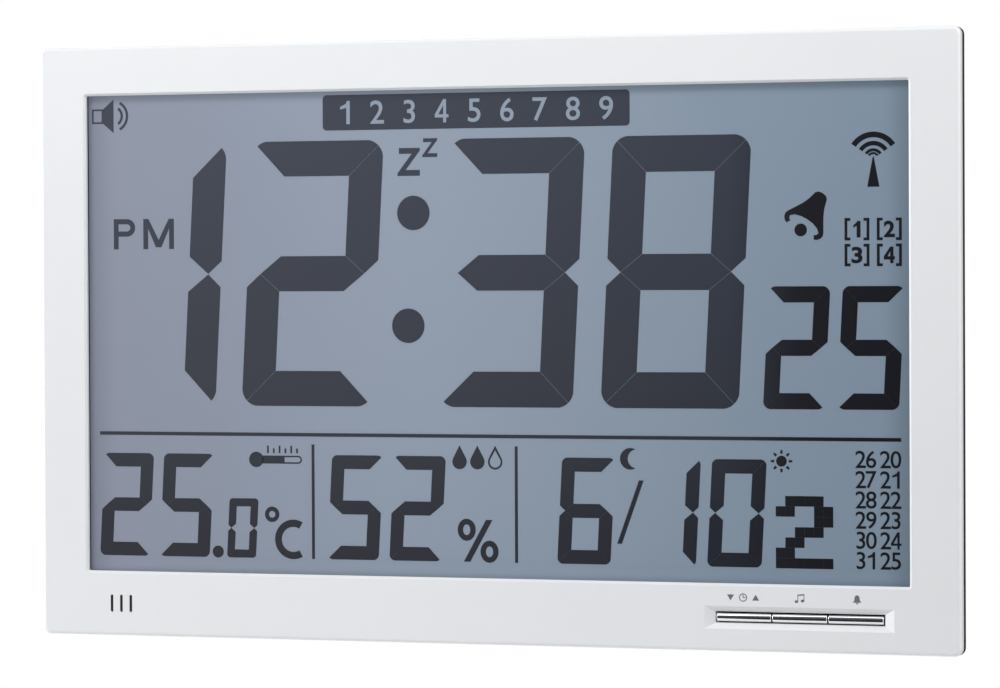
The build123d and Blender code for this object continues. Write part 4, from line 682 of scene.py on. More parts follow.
def painted_border_light(tree):
    """Painted light for the film, as a factor: painted shade beside the left and right border, painted light
    above the white sill.
    """
    axes = object_axes(tree)
    apart = reckon(tree, "ABSOLUTE", axes["X"])
    kept = spread(tree, apart, WINDOW_HALF - FILM_EDGE, WINDOW_HALF, 1.0, FILM_EDGE_PAINTED_SHADE, "SMOOTHERSTEP")
    gained = spread(tree, axes["Z"], WINDOW_SILL, WINDOW_SILL + FILM_SILL, FILM_SILL_PAINTED_LIGHT, 1.0, "SMOOTHSTEP")
    return reckon(tree, "MULTIPLY", kept, gained)


def film_finish():
    """Blue-grey film: greyer on the left, palest in the middle (partly painted light), with painted shade
    beside the border.
    """
    finish, tree, shader = shaded("lcd_film")
    entries = {"Vector": object_point(tree), "Location": FILM_CENTRE, "Scale": FILM_REACH}
    centred = add_node(tree, "ShaderNodeMapping", entries, vector_type="TEXTURE").outputs[0]
    far = reach_along(tree, centred, (1.0, 0.0, 1.0))
    tone = ramp_of(tree, far, (0.0, FILM_PALE), (1.0, FILM_DEEP), kind="EASE")
    greyed = blended(tree, across(tree, *FILM_TURN), FILM_LEFT, tone)
    fill(tree, shader, {"Base Color": tinted(tree, greyed, painted_border_light(tree))})
    anti_glare(tree, shader)
    return finish


def ink_finish():
    """Active bars: near black below and on the right, paler towards the top under a painted haze of reflected
    light.
    """
    finish, tree, shader = shaded("lcd_ink")
    rise = spread(tree, object_axes(tree)["Z"], *INK_RISE)
    tone = ramp_of(tree, rise, (0.0, INK_LOW), (INK_TURN, INK_MID), (1.0, INK_PAINTED_HAZE))
    dark = blended(tree, across(tree, *INK_RIGHT), tone, INK_DEEP)
    fill(tree, shader, {"Base Color": dark, "Specular IOR Level": INK_GLOSS})
    anti_glare(tree, shader)
    return finish


finishes["lcd_film"] = film_finish()
finishes["lcd_ink"] = ink_finish()
print("display face", [round(side / MM, 1) for side in WINDOW_HIGH - WINDOW_LOW])

# %% [markdown]
# ## Finishes of the hidden pieces
# Inside the case are green boards, glass, an aerial wound with copper and a paper cone. Most stay hidden, but
# a maker who opens the model should see what each is, so each gets its own pattern instead of one grey.

# %% Finish boards, glass, wire and paper
TRACK_SCALE = 90.0
TRACK_WIDTH = 0.035
TRACK_DEPTH = 0.04 * MM
BOARD_ROUGHNESS = 0.32
BOARD_GREENS = {"Color1": (0.020, 0.150, 0.062, 1.0), "Color2": (0.024, 0.175, 0.072, 1.0),
                "Mortar": (0.055, 0.270, 0.110, 1.0)}
GLASS_TINT = (0.88, 0.93, 0.91, 1.0)
GLASS_IOR = 1.52
GLASS_ROUGHNESS = 0.03
GLASS_SMEAR = {"Scale": 25.0, "Amount": 0.8}
BAND_DISTORTION = 0.4
BAND_STOPS = (0.15, 0.75)
BAND_DEPTH = 0.12 * MM
COPPER = (0.62, 0.27, 0.12)
COPPER_GAP = (0.22, 0.07, 0.03)
CONE = (0.050, 0.049, 0.047)
CONE_GROOVE = (0.030, 0.030, 0.029)


def board_finish():
    """Green solder mask over copper tracks: bands of a brick pattern show as slightly paler tracks."""
    finish, tree, shader = shaded("green_board")
    entries = {"Vector": object_point(tree), "Rotation": (math.radians(90), 0.0, 0.0)}
    turn = add_node(tree, "ShaderNodeMapping", entries).outputs[0]
    entries = {"Vector": turn, "Scale": TRACK_SCALE, "Mortar Size": TRACK_WIDTH, **BOARD_GREENS}
    tracks = add_node(tree, "ShaderNodeTexBrick", entries).outputs
    fill(tree, shader, {"Base Color": tracks["Color"], "Roughness": BOARD_ROUGHNESS,
                        "Normal": bumped(tree, tracks["Fac"], TRACK_DEPTH, invert=True)})
    return finish


def glass_finish():
    """Thin float glass with a faint green body and smears in its polish."""
    finish, tree, shader = shaded("pane")
    smear = place_effect(tree, TONE_DRIFT, **GLASS_SMEAR)
    fill(tree, shader, {"Base Color": GLASS_TINT, "Transmission Weight": 1.0, "IOR": GLASS_IOR,
                        "Roughness": reckon(tree, "MULTIPLY", smear, GLASS_ROUGHNESS)})
    return finish


def banded_finish(name, light, dark, scale, axis, roughness, metallic):
    """Fine bands along one axis: turns of wire, or the ribs of a paper cone."""
    finish, tree, shader = shaded(name)
    entries = {"Vector": object_point(tree), "Scale": scale, "Distortion": BAND_DISTORTION}
    bands = add_node(tree, "ShaderNodeTexWave", entries, bands_direction=axis).outputs["Fac"]
    tone = ramp_of(tree, bands, *zip(BAND_STOPS, (dark, light)))
    fill(tree, shader, {"Base Color": tone, "Roughness": roughness, "Metallic": metallic,
                        "Normal": bumped(tree, bands, BAND_DEPTH)})
    return finish


finishes["green_board"] = board_finish()
finishes["pane"] = glass_finish()
finishes["copper_wire"] = banded_finish("copper_wire", COPPER, COPPER_GAP, 420.0, "X", 0.3, 1.0)
finishes["cone_paper"] = banded_finish("cone_paper", CONE, CONE_GROOVE, 240.0, "Y", 0.85, 0.0)
print("finishes:", len(finishes))

# %% [markdown]
# ## Dressing the solids
# A solid keeps its own mesh and place; only its material slots are filled. Each node could be dressed by
# name, but the record says which slot it takes, so one loop dresses all of them and a slot without a finish
# shows up at once.

# %% Dress every node
slot_of = {entry["node"]: entry["material_slot"] for entry in frame["record"]["subparts"]}
for node_name, solid in frame["nodes"].items():
    solid.data.materials.clear()
    solid.data.materials.append(finishes[slot_of[node_name]])
print("dressed", len(slot_of), "nodes in", len(set(slot_of.values())), "finishes")

# %% [markdown]
# ## Drawing the small signs
# Beside its figures the display shows small signs: a speaker, a bell, a mast, brackets with alarm numbers. On
# the real panel they are printed electrodes in the same layer as the figures. They could be painted on with a
# texture, but as thin raised meshes they stay sharp from near by, so each is drawn flat, thickened and stood
# on the face.

# %% Draw flat shapes
SIGN_T = 0.06 * MM
WELD = 0.001 * MM


def flat_block(left, low, right_side, high):
    """A flat rectangle between two corners, in millimetres."""
    clear_bench()
    bpy.ops.mesh.primitive_plane_add(size=1.0)
    bpy.ops.object.mode_set(mode="EDIT")
    bpy.ops.transform.resize(value=((right_side - left) * MM, (high - low) * MM, 1.0))
    bpy.ops.transform.translate(value=((left + right_side) / 2 * MM, (low + high) / 2 * MM, 0.0))
    bpy.ops.object.mode_set(mode="OBJECT")
    return bpy.context.object


def flat_arc(middle, inner, outer, start, end, steps=24):
    """A flat arched band between two radii, from one angle to another in degrees: a short edge, spun."""
    clear_bench()
    bpy.ops.mesh.primitive_plane_add(size=1.0)
    bpy.ops.object.mode_set(mode="EDIT")
    drawn = bmesh.from_edit_mesh(bpy.context.object.data)
    for corner in drawn.verts:
        corner.select_set(corner.co.x < 0)
    drawn.select_flush_mode()
    bpy.ops.mesh.delete(type="VERT")
    drawn = bmesh.from_edit_mesh(bpy.context.object.data)
    outward = Vector((math.cos(math.radians(start)), math.sin(math.radians(start)), 0.0))
    hub = Vector((middle[0], middle[1], 0.0)) * MM
    for corner, radius in zip(drawn.verts, (inner, outer)):
        corner.co = hub + outward * radius * MM
    bpy.ops.mesh.select_all(action="SELECT")
    bpy.ops.mesh.spin(steps=steps, angle=-math.radians(end - start), center=hub, axis=(0.0, 0.0, 1.0))
    bpy.ops.mesh.select_all(action="SELECT")
    bpy.ops.mesh.remove_doubles(threshold=WELD)
    bpy.ops.object.mode_set(mode="OBJECT")
    return bpy.context.object


def flat_outline(*rings):
    """A filled outline from rings of millimetre points; a ring inside another is a hole."""
    clear_bench()
    drawing = bpy.data.curves.new("outline", "CURVE")
    drawing.dimensions = "2D"
    drawing.fill_mode = "BOTH"
    for ring in rings:
        line = drawing.splines.new("POLY")
        line.points.add(len(ring) - 1)
        for point, (x, z) in zip(line.points, ring):
            point.co = (x * MM, z * MM, 0.0, 1.0)
        line.use_cyclic_u = True
    drawn = bpy.data.objects.new("outline", drawing)
    bpy.context.scene.collection.objects.link(drawn)
    drawn.select_set(True)
    bpy.context.view_layer.objects.active = drawn
    bpy.ops.object.convert(target="MESH")
    return bpy.context.object


def ellipse(middle, half_width, half_height, steps=40):
    """Points round an ellipse, in millimetres."""
    turns = [2 * math.pi * step / steps for step in range(steps)]
    return [(middle[0] + half_width * math.cos(turn), middle[1] + half_height * math.sin(turn))
            for turn in turns]


def arc_points(middle, radius, start, end, steps):
    """Points along an arc from one angle to another in degrees, both ends among them."""
    turns = [math.radians(start + (end - start) * step / steps) for step in range(steps + 1)]
    return [(middle[0] + radius * math.cos(turn), middle[1] + radius * math.sin(turn)) for turn in turns]


print("signs are", round(SIGN_T / MM, 2), "mm thick")

# %% Draw letters and numbers
FONT_CAP = 0.73
FONT_STEPS = 5
FIGURE_PITCH = 0.62
FIGURE_LINE = 0.11


def flat_text(words, height, middle, weight, width=None):
    """Plain letters or numbers about a middle point, as tall as asked, in millimetres. Their weight only
    takes hold on letters with some depth, so they are drawn deep and their front is kept."""
    clear_bench()
    bpy.ops.object.text_add()
    written = bpy.context.object
    written.data.body = words
    written.data.align_x = "CENTER"
    written.data.size = height / FONT_CAP * MM
    written.data.offset = weight * MM
    written.data.extrude = SIGN_T
    written.data.resolution_u = FONT_STEPS
    bpy.ops.object.convert(target="MESH")
    written = bpy.context.object
    bpy.ops.object.mode_set(mode="EDIT")
    drawn = bmesh.from_edit_mesh(written.data)
    behind = [side for side in drawn.faces if side.normal.z < 0.5]
    bmesh.ops.delete(drawn, geom=behind, context="FACES")
    bmesh.update_edit_mesh(written.data)
    bpy.ops.object.mode_set(mode="OBJECT")
    corners = [vertex.co for vertex in written.data.vertices]
    low_x, high_x = min(co.x for co in corners), max(co.x for co in corners)
    low_y, high_y = min(co.y for co in corners), max(co.y for co in corners)
    stretch_y = height * MM / (high_y - low_y)
    stretch_x = width * MM / (high_x - low_x) if width else stretch_y
    bpy.ops.object.mode_set(mode="EDIT")
    bpy.ops.mesh.select_all(action="SELECT")
    bpy.ops.transform.translate(value=(-(low_x + high_x) / 2, -(low_y + high_y) / 2, -SIGN_T))
    bpy.ops.object.mode_set(mode="OBJECT")
    written.scale = (stretch_x, stretch_y, 1.0)
    written.location = (middle[0] * MM, middle[1] * MM, 0.0)
    bpy.ops.object.transform_apply(location=True, scale=True)
    return written


def flat_one(height, middle, line):
    """A one drawn point by point, with a flag: the written one is a bare stem."""
    stem = 1.2 * line
    wide = 0.44 * height
    left, low = middle[0] - wide / 2, middle[1] - height / 2
    right_side, top = left + wide, low + height
    flag = top - 0.25 * height
    return flat_outline([(right_side - stem, low), (right_side, low), (right_side, top),
                         (right_side - 0.8 * stem, top), (right_side - 1.2 * stem, top - 0.13 * height),
                         (left, flag), (left, flag - 0.9 * line), (right_side - stem, top - 0.29 * height)])


def flat_four(height, middle, line, wide):
    """A four drawn point by point: the sharp corners of the written one cross when it is made heavier."""
    left, low = middle[0] - wide / 2, middle[1] - height / 2
    stem = left + 0.72 * wide - line / 2
    bar = low + 0.22 * height
    notch = low + 0.74 * height
    outside = [(stem, low), (stem + line, low), (stem + line, bar), (left + wide, bar),
               (left + wide, bar + line), (stem + line, bar + line), (stem + line, low + height),
               (stem, low + height), (left, bar + line), (left, bar), (stem, bar)]
    inside = [(stem, bar + line), (stem, notch), (left + 1.2 * line, bar + line)]
    return flat_outline(outside, inside)


def flat_number(number, height, middle, weight, wide=None):
    """A plain number, one figure beside the other."""
    pitch = FIGURE_PITCH * height
    line = FIGURE_LINE * height + 2 * weight
    drawn = []
    for place, digit in enumerate(number):
        digit_middle = (middle[0] + (place - (len(number) - 1) / 2) * pitch, middle[1])
        if digit == "1":
            drawn.append(flat_one(height, digit_middle, line))
        elif digit == "4":
            drawn.append(flat_four(height, digit_middle, line, wide or pitch))
        else:
            drawn.append(flat_text(digit, height, digit_middle, weight, wide))
    return drawn


print("figures stand", FIGURE_PITCH, "of their height apart")

# %% Stand a drawing on the clock
FACE_Y = WINDOW_LOW.y


def thickened(piece, thick):
    """Give a flat piece its thickness, in front of where it was drawn."""
    thicken = piece.modifiers.new("thicken", "SOLIDIFY")
    thicken.thickness = thick
    thicken.offset = 1.0
    bpy.ops.object.modifier_apply(modifier=thicken.name)


def stand_sign(name, drawings, finish, face=FACE_Y, thick=SIGN_T):
    """Join flat drawings, thicken them, stand them on a face of the clock and let them ride on the case."""
    clear_bench()
    for drawing in drawings:
        drawing.select_set(True)
    bpy.context.view_layer.objects.active = drawings[0]
    if len(drawings) > 1:
        bpy.ops.object.join()
    sign = bpy.context.object
    sign.name = name
    sign.data.name = name
    bpy.ops.object.mode_set(mode="EDIT")
    bpy.ops.mesh.select_all(action="SELECT")
    bpy.ops.mesh.remove_doubles(threshold=WELD)
    bpy.ops.mesh.normals_make_consistent(inside=False)
    drawn = bmesh.from_edit_mesh(sign.data)
    turned_away = [side for side in drawn.faces if side.normal.z < 0]
    bmesh.ops.reverse_faces(drawn, faces=turned_away)
    bmesh.update_edit_mesh(sign.data)
    bpy.ops.object.mode_set(mode="OBJECT")
    thickened(sign, thick)
    bpy.ops.object.shade_flat()
    sign.rotation_euler = (math.radians(90), 0.0, 0.0)
    sign.location = (0.0, face, 0.0)
    bpy.ops.object.transform_apply(location=True, rotation=True)
    sign.data.materials.clear()
    sign.data.materials.append(finish)
    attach(sign, "case")
    print(name, len(sign.data.polygons), "faces")


def ink_sign(name, *drawings):
    """A dark sign on the display's face."""
    stand_sign(name, drawings, finishes["lcd_ink"])


print("signs stand on the face at", round(FACE_Y / MM, 2), "mm")

# %% [markdown]
# ## Signs along the top and beside the time
# The speaker shows that the chime is on, the two letters that it is past noon, the sleeper's letters that the
# alarm will repeat. They could all be written in a font that has such signs, but none comes with the tool.
# So bands are spun about a middle, straight ones are blocks, and the rest are filled outlines.

# %% Speaker sign
SPEAKER_MIDDLE = (-159.3, 90.8)
SPEAKER_LINE = 0.7
SPEAKER_BOX = (-168.7, 87.8, -163.8, 93.7)
SPEAKER_MOUTH = (-159.2, 84.0, 97.6)
SPEAKER_WAVES = [(3.2, 56), (5.5, 62)]
WAVE_LINE = 1.05


def box_ring(left, low, right_side, high, line):
    """The two rings of an empty frame, for an outline with a hole."""
    outside = [(left, low), (right_side, low), (right_side, high), (left, high)]
    inside = [(left + line, low + line), (right_side - line, low + line),
              (right_side - line, high - line), (left + line, high - line)]
    return outside, inside


_, box_low, box_right, box_high = SPEAKER_BOX
mouth_x, mouth_low, mouth_high = SPEAKER_MOUTH
cone = [(box_right, box_low), (mouth_x, mouth_low), (mouth_x, mouth_high), (box_right, box_high)]
ink_sign("speaker_sign",
         flat_outline(*box_ring(*SPEAKER_BOX, SPEAKER_LINE)),
         flat_outline(cone),
         *[flat_arc(SPEAKER_MIDDLE, radius, radius + WAVE_LINE, -opening, opening)
           for radius, opening in SPEAKER_WAVES])

# %% Afternoon and snooze signs
NOON_PLACE = (-159.4, 37.0)
NOON_RIGHT = -133.0
NOON_H = 12.2
NOON_W = 9.4
NOON_M = 13.4
NOON_LINE = 2.1
NOON_BOWL = 0.29 * NOON_H
NOON_LEG = 0.5 - NOON_LINE / NOON_M
NOON_M_SIDE = [(0.0, 0.30), (0.33, 1.0), (0.5, 1.0), (0.5, 0.0),
               (NOON_LEG, 0.0), (NOON_LEG, 0.68), (0.09, 0.06)]
BEND_STEPS = 16
SNOOZE_LETTERS = [((-37.0, 65.2, -27.6, 76.2), 2.3), ((-26.6, 72.5, -20.3, 79.9), 1.5)]


def afternoon_letters():
    """The two letters for past noon: a stem with a bowl, and two stems with a dip between them."""
    left, low = NOON_PLACE
    top = low + NOON_H
    stem = left + NOON_LINE
    middle = (left + NOON_W - NOON_BOWL, top - NOON_BOWL)
    bowl = arc_points(middle, NOON_BOWL, -90, 90, BEND_STEPS)
    hollow = arc_points(middle, NOON_BOWL - NOON_LINE, -90, 90, BEND_STEPS)
    outside = [(left, low), (stem, low), (stem, top - 2 * NOON_BOWL), *bowl, (left, top)]
    inside = [(stem, top - 2 * NOON_BOWL + NOON_LINE), *hollow, (stem, top - NOON_LINE)]
    middle_x = NOON_RIGHT - NOON_M / 2
    right_half = [(middle_x + aside * NOON_M, low + rise * NOON_H) for aside, rise in NOON_M_SIDE]
    left_half = [(2 * middle_x - x, z) for x, z in reversed(right_half[1:])]
    return [flat_outline(outside, inside), flat_outline(right_half + left_half)]


def sleeper_letter(left, low, right_side, high, line):
    """The outline of a plain slanting letter made of two bars and a diagonal."""
    lip = 0.45 * line
    run = 1.5 * line
    step = 0.28 * line
    return [(left, low), (right_side, low), (right_side, low + line), (left + run, low + line),
            (right_side, high - lip), (right_side, high), (left + step, high), (left + step, high - line),
            (right_side - run, high - line), (left, low + lip)]


ink_sign("afternoon_sign", *afternoon_letters())
ink_sign("snooze_sign", *[flat_outline(sleeper_letter(*box, line)) for box, line in SNOOZE_LETTERS])

# %% Mast and bell signs
MAST_MIDDLE = (155.5, 69.44)
MAST_WAVES = [(10.3, 2.15), (6.75, 1.7), (3.95, 1.15), (2.5, 0.8)]
MAST_SPREAD = 56
MAST_TIP, MAST_TIP_HALF = 70.25, 0.2
MAST_FOOT, MAST_FOOT_HALF = 58.8, 2.35
BELL_MIDDLE = (127.0, 42.6)
BELL_LEAN = math.radians(32)
BELL_CLAPPER = 2.46
BELL_SIDE = [(0.0, 16.5), (1.7, 16.2), (2.7, 15.2), (3.1, 13.6), (3.7, 11.6), (4.8, 9.2), (6.4, 6.6),
             (8.1, 3.9), (8.65, 2.6), (8.4, 1.3), (7.6, 0.2), (6.35, -0.5), (5.4, 1.0), (6.3, 1.6),
             (6.6, 2.6), (5.2, 3.8), (2.8, 4.6)]
BELL_MOUTH = (0.0, 4.85)


def bell_outline(middle, lean):
    """A bell with curled lips: one side drawn, the other mirrored, then leaned over."""
    other = [(-x, z) for x, z in reversed(BELL_SIDE[1:])]
    turned_to = Matrix.Rotation(-lean, 2)
    leaned = [turned_to @ Vector(point) for point in [*BELL_SIDE, BELL_MOUTH, *other]]
    return [(middle[0] + point.x, middle[1] + point.y) for point in leaned]


mast_x = MAST_MIDDLE[0]
mast = [(mast_x - MAST_FOOT_HALF, MAST_FOOT), (mast_x + MAST_FOOT_HALF, MAST_FOOT),
        (mast_x + MAST_TIP_HALF, MAST_TIP), (mast_x - MAST_TIP_HALF, MAST_TIP)]
waves = [flat_arc(MAST_MIDDLE, radius - band, radius, 90 - MAST_SPREAD, 90 + MAST_SPREAD)
         for radius, band in MAST_WAVES]
ink_sign("signal_mast_sign", flat_outline(mast), *waves)
ink_sign("bell_sign",
         flat_outline(bell_outline(BELL_MIDDLE, BELL_LEAN)),
         flat_outline(ellipse(BELL_MIDDLE, BELL_CLAPPER, BELL_CLAPPER)))

# %% Alarm number signs
BRACKET_LEFT = (144.2, 156.8)
BRACKET_LOW = (38.45, 28.6)
BRACKET_W = 9.7
BRACKET_H = 8.55
BRACKET_LINE = 1.1
BRACKET_FOOT = 2.3
ALARM_NUMBER_H = 6.3
ALARM_NUMBER_W = 4.3
ALARM_NUMBER_WEIGHT = 0.28


def bracket_pair(left, low):
    """A pair of square brackets, as two outlines."""
    far, top = left + BRACKET_W, low + BRACKET_H
    foot, line = left + BRACKET_FOOT, BRACKET_LINE
    opening = [(left, low), (foot, low), (foot, low + line), (left + line, low + line),
               (left + line, top - line), (foot, top - line), (foot, top), (left, top)]
    closing = [(left + far - x, z) for x, z in opening]
    return flat_outline(opening), flat_outline(closing)


alarm_numbers = []
for place, number in enumerate("1234"):
    left, low = BRACKET_LEFT[place % 2], BRACKET_LOW[place // 2]
    middle = (left + BRACKET_W / 2, low + BRACKET_H / 2)
    alarm_numbers.extend(bracket_pair(left, low))
    alarm_numbers.extend(flat_number(number, ALARM_NUMBER_H, middle, ALARM_NUMBER_WEIGHT, ALARM_NUMBER_W))
ink_sign("alarm_number_signs", *alarm_numbers)

# %% [markdown]
# ## Signs of the lower row
# The lower row shows temperature, humidity and date. Words could label them, but plain pictures say the same
# in any language: a lying thermometer, three drops, a crescent for the month and a sun for the day. Numbers
# fill the list beside them.

# %% Degree and percent signs
DEGREE_MIDDLE = (-91.1, -69.3)
DEGREE_RING = (1.35, 3.1)
CELSIUS_MIDDLE = (-82.0, -79.2)
CELSIUS_BAND = (5.0, 7.9)
CELSIUS_GAP = 60
ROUND_STEPS = 40
PERCENT_RINGS = [(-8.77, -74.2), (0.69, -82.7)]
PERCENT_OUTER = (3.75, 4.35)
PERCENT_INNER = (1.5, 2.1)
PERCENT_SLASH = [(-10.0, -86.75), (-7.3, -86.75), (1.95, -70.2), (-0.75, -70.2)]

ink_sign("degree_sign",
         flat_arc(DEGREE_MIDDLE, *DEGREE_RING, 0, 360, ROUND_STEPS),
         flat_arc(CELSIUS_MIDDLE, *CELSIUS_BAND, CELSIUS_GAP, 360 - CELSIUS_GAP, ROUND_STEPS))
ink_sign("percent_sign",
         *[flat_outline(ellipse(ring, *PERCENT_OUTER), ellipse(ring, *PERCENT_INNER))
           for ring in PERCENT_RINGS],
         flat_outline(PERCENT_SLASH))

# %% Thermometer sign
THERMOMETER_LEFT = -100.9
THERMOMETER_RIGHT = -78.2
THERMOMETER_Z = -47.4
BULB_R = 3.1
TUBE_HALF = 1.6
TUBE_WALL = 0.6
COLUMN_SHARE = 0.62
TICKS = 6
TICK_START = 2.0
TICK_PITCH = 2.5
TICK_W = 0.75
TICK_FOOT = 2.6
TICK_LONG, TICK_SHORT = 3.0, 1.9


def tube_ring(start_x, end_x, half):
    """A tube's outline: straight at its start, round at its end."""
    rim = arc_points((end_x, THERMOMETER_Z), half, 90, -90, BEND_STEPS)
    return [(start_x, THERMOMETER_Z - half), (start_x, THERMOMETER_Z + half), *rim]


def thermometer_drawings():
    """A lying thermometer: bulb, column, tube and a row of ticks."""
    bulb_x = THERMOMETER_LEFT + BULB_R
    start_x = bulb_x + math.sqrt(BULB_R ** 2 - TUBE_HALF ** 2)
    end_x = THERMOMETER_RIGHT - TUBE_HALF
    column_x = start_x + COLUMN_SHARE * (end_x - start_x)
    tube = flat_outline(tube_ring(start_x, end_x, TUBE_HALF),
                        tube_ring(column_x, end_x, TUBE_HALF - TUBE_WALL))
    bulb = flat_outline(ellipse((bulb_x, THERMOMETER_Z), BULB_R, BULB_R))
    foot = THERMOMETER_Z + TICK_FOOT
    ticks = []
    for tick in range(TICKS):
        tick_x = start_x + TICK_START + tick * TICK_PITCH
        tall = TICK_LONG if tick % 2 == 0 else TICK_SHORT
        ticks.append(flat_block(tick_x, foot, tick_x + TICK_W, foot + tall))
    return [tube, bulb, *ticks]


ink_sign("thermometer_sign", *thermometer_drawings())

# %% Drop sign
DROP_PLACES = (-11.6, -4.2, 3.2)
DROP_FOOT = -50.4
DROP_H = 9.4
DROP_R = 3.0
DROP_LINE = 0.75
DROP_STEPS = 28
HOLLOW_LOSS = 2.6


def drop_outline(middle_x, foot, height, radius):
    """A drop: a round belly and two straight sides that meet in a point, tangent to the belly."""
    middle = (middle_x, foot + radius)
    touch = math.degrees(math.asin(radius / (height - radius)))
    return [(middle_x, foot + height), *arc_points(middle, radius, touch, -180 - touch, DROP_STEPS)]


drops = [drop_outline(place, DROP_FOOT, DROP_H, DROP_R) for place in DROP_PLACES]
hollow = drop_outline(DROP_PLACES[2], DROP_FOOT + DROP_LINE, DROP_H - HOLLOW_LOSS, DROP_R - DROP_LINE)
ink_sign("drop_sign", flat_outline(drops[0]), flat_outline(drops[1]), flat_outline(drops[2], hollow))

# %% Month, day and weekday signs
MOON_MIDDLE = (58.6, -45.6)
MOON_R = 4.2
MOON_TIP = 60
MOON_BITE = 0.62
MOON_STEPS = 32
SUN_MIDDLE = (119.1, -45.9)
SUN_R = 2.1
SUN_RAYS = 8
SUN_RAY = [(2.9, -0.55), (4.3, -0.35), (4.3, 0.35), (2.9, 0.55)]
PIXEL_W = 3.78
PIXEL_H = 3.97
PIXEL_SPLIT = 0.012
WEEKDAY_LEFT = 116.75
WEEKDAY_TOP = -59.2
WEEKDAY_PIXELS = [".####.",
                  "##..##",
                  "....##",
                  "..###.",
                  ".##...",
                  "##....",
                  "######"]


def crescent(middle, radius):
    """A crescent: the outer circle's left part and a smaller circle that bites into it."""
    outer = arc_points(middle, radius, MOON_TIP, 360 - MOON_TIP, MOON_STEPS)
    bite = (middle[0] + MOON_BITE * radius, middle[1])
    aside, rise = outer[0][0] - bite[0], outer[0][1] - bite[1]
    opening = math.degrees(math.atan2(rise, aside))
    inner = arc_points(bite, math.hypot(aside, rise), 360 - opening, opening, MOON_STEPS)
    return [*outer, *inner[1:-1]]


def sun_ray(turn):
    """One short tapered ray of the sun sign."""
    outward = Vector((math.cos(turn), math.sin(turn)))
    sideways = Vector((-outward.y, outward.x))
    return [tuple(Vector(SUN_MIDDLE) + outward * far + sideways * side) for far, side in SUN_RAY]


ink_sign("month_sign", flat_outline(crescent(MOON_MIDDLE, MOON_R)))
rays = [flat_outline(sun_ray(2 * math.pi * ray / SUN_RAYS)) for ray in range(SUN_RAYS)]
ink_sign("day_sign", flat_outline(ellipse(SUN_MIDDLE, SUN_R, SUN_R)), *rays)
weekday = []
for row, line in enumerate(WEEKDAY_PIXELS):
    for column, mark in enumerate(line):
        if mark == "#":
            left = WEEKDAY_LEFT + column * PIXEL_W
            top = WEEKDAY_TOP - row * PIXEL_H
            weekday.append(flat_block(left + PIXEL_SPLIT, top - PIXEL_H + PIXEL_SPLIT,
                                      left + PIXEL_W - PIXEL_SPLIT, top - PIXEL_SPLIT))
ink_sign("weekday_sign", *weekday)

# %% Number list and banner numbers
LIST_COLUMNS = (161.9, 152.25)
LIST_ROWS = 6
LIST_TOP = -44.9
LIST_PITCH = 7.71
LIST_FIRST = 20
LIST_NUMBER_H = 6.6
LIST_NUMBER_WEIGHT = 0.06
BANNER_LOW, BANNER_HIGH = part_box("display_banner")
BANNER_NUMBERS = 9
BANNER_MARGIN = 0.4
BANNER_NUMBER_H = 9.2
BANNER_NUMBER_WEIGHT = 0.10

numbers = []
for column, middle_x in enumerate(LIST_COLUMNS):
    for row in range(LIST_ROWS):
        number = str(LIST_FIRST + LIST_ROWS * column + row)
        middle = (middle_x, LIST_TOP - row * LIST_PITCH)
        numbers.extend(flat_number(number, LIST_NUMBER_H, middle, LIST_NUMBER_WEIGHT))
ink_sign("number_list_sign", *numbers)

banner_pitch = (BANNER_HIGH.x - BANNER_LOW.x) / MM / (BANNER_NUMBERS + BANNER_MARGIN)
banner_middle = (BANNER_LOW + BANNER_HIGH) / 2 / MM
pale_numbers = []
for place in range(BANNER_NUMBERS):
    middle = (banner_middle.x + (place - (BANNER_NUMBERS - 1) / 2) * banner_pitch, banner_middle.z)
    pale_numbers.extend(flat_number(str(place + 1), BANNER_NUMBER_H, middle, BANNER_NUMBER_WEIGHT))
stand_sign("banner_numbers", pale_numbers, finishes["lcd_film"], face=BANNER_LOW.y)

# %% [markdown]
# ## Marks over the buttons
# Small grey marks on the border say what each bar does: set the time, ring the chime, set the alarm. On the
# real border they are pad printed, a film thinner than a hair. A texture would blur at this size, so they are
# drawn like the signs but thinner still.

# %% Print the marks
PRINT_T = 0.01 * MM
PRINT_GREY = (0.135, 0.140, 0.150)
PRINT_SPECKLE = {"Scale": 900.0, "Amount": 0.25}
PRINT_ROUGHNESS = 0.5
MARK_Z = -98.2
SET_MARK_X = 104.75
SET_FACE_R, SET_FACE_LINE, SET_FACE_STEPS = 1.6, 0.38, 32
SET_HANDS = [(-0.18, -0.18), (1.0, -0.18), (1.0, 0.18), (0.18, 0.18), (0.18, 1.1), (-0.18, 1.1)]
SET_RISE = [(3.6, -1.1), (6.4, -1.1), (5.0, 1.2)]
SET_FALL = [(-6.4, 1.1), (-5.0, -1.2), (-3.6, 1.1)]
NOTE_MARK_X = 127.2
NOTE_HEADS = [(-1.35, -1.15), (1.05, -0.85)]
NOTE_HEAD = (0.72, 0.55)
NOTE_STEMS = [[(-0.93, -1.0), (-0.63, 1.3)], [(1.47, -0.7), (1.77, 1.6)]]
NOTE_BEAM = [(-0.93, 1.0), (1.77, 1.3), (1.77, 1.85), (-0.93, 1.55)]
BELL_MARK_X = 149.6
BELL_MARK_SIDE = [(0.30, 1.75), (0.72, 1.45), (0.95, 0.95), (1.05, 0.10), (1.20, -0.45), (1.60, -0.80),
                  (1.60, -1.05)]
BELL_MARK_CLAPPER, BELL_MARK_OVAL = (0.0, -1.42), (0.50, 0.26)
OVAL_STEPS = 20


def over_bar(x, points):
    """Points of a mark, moved to its place over a bar."""
    return [(x + aside, MARK_Z + rise) for aside, rise in points]


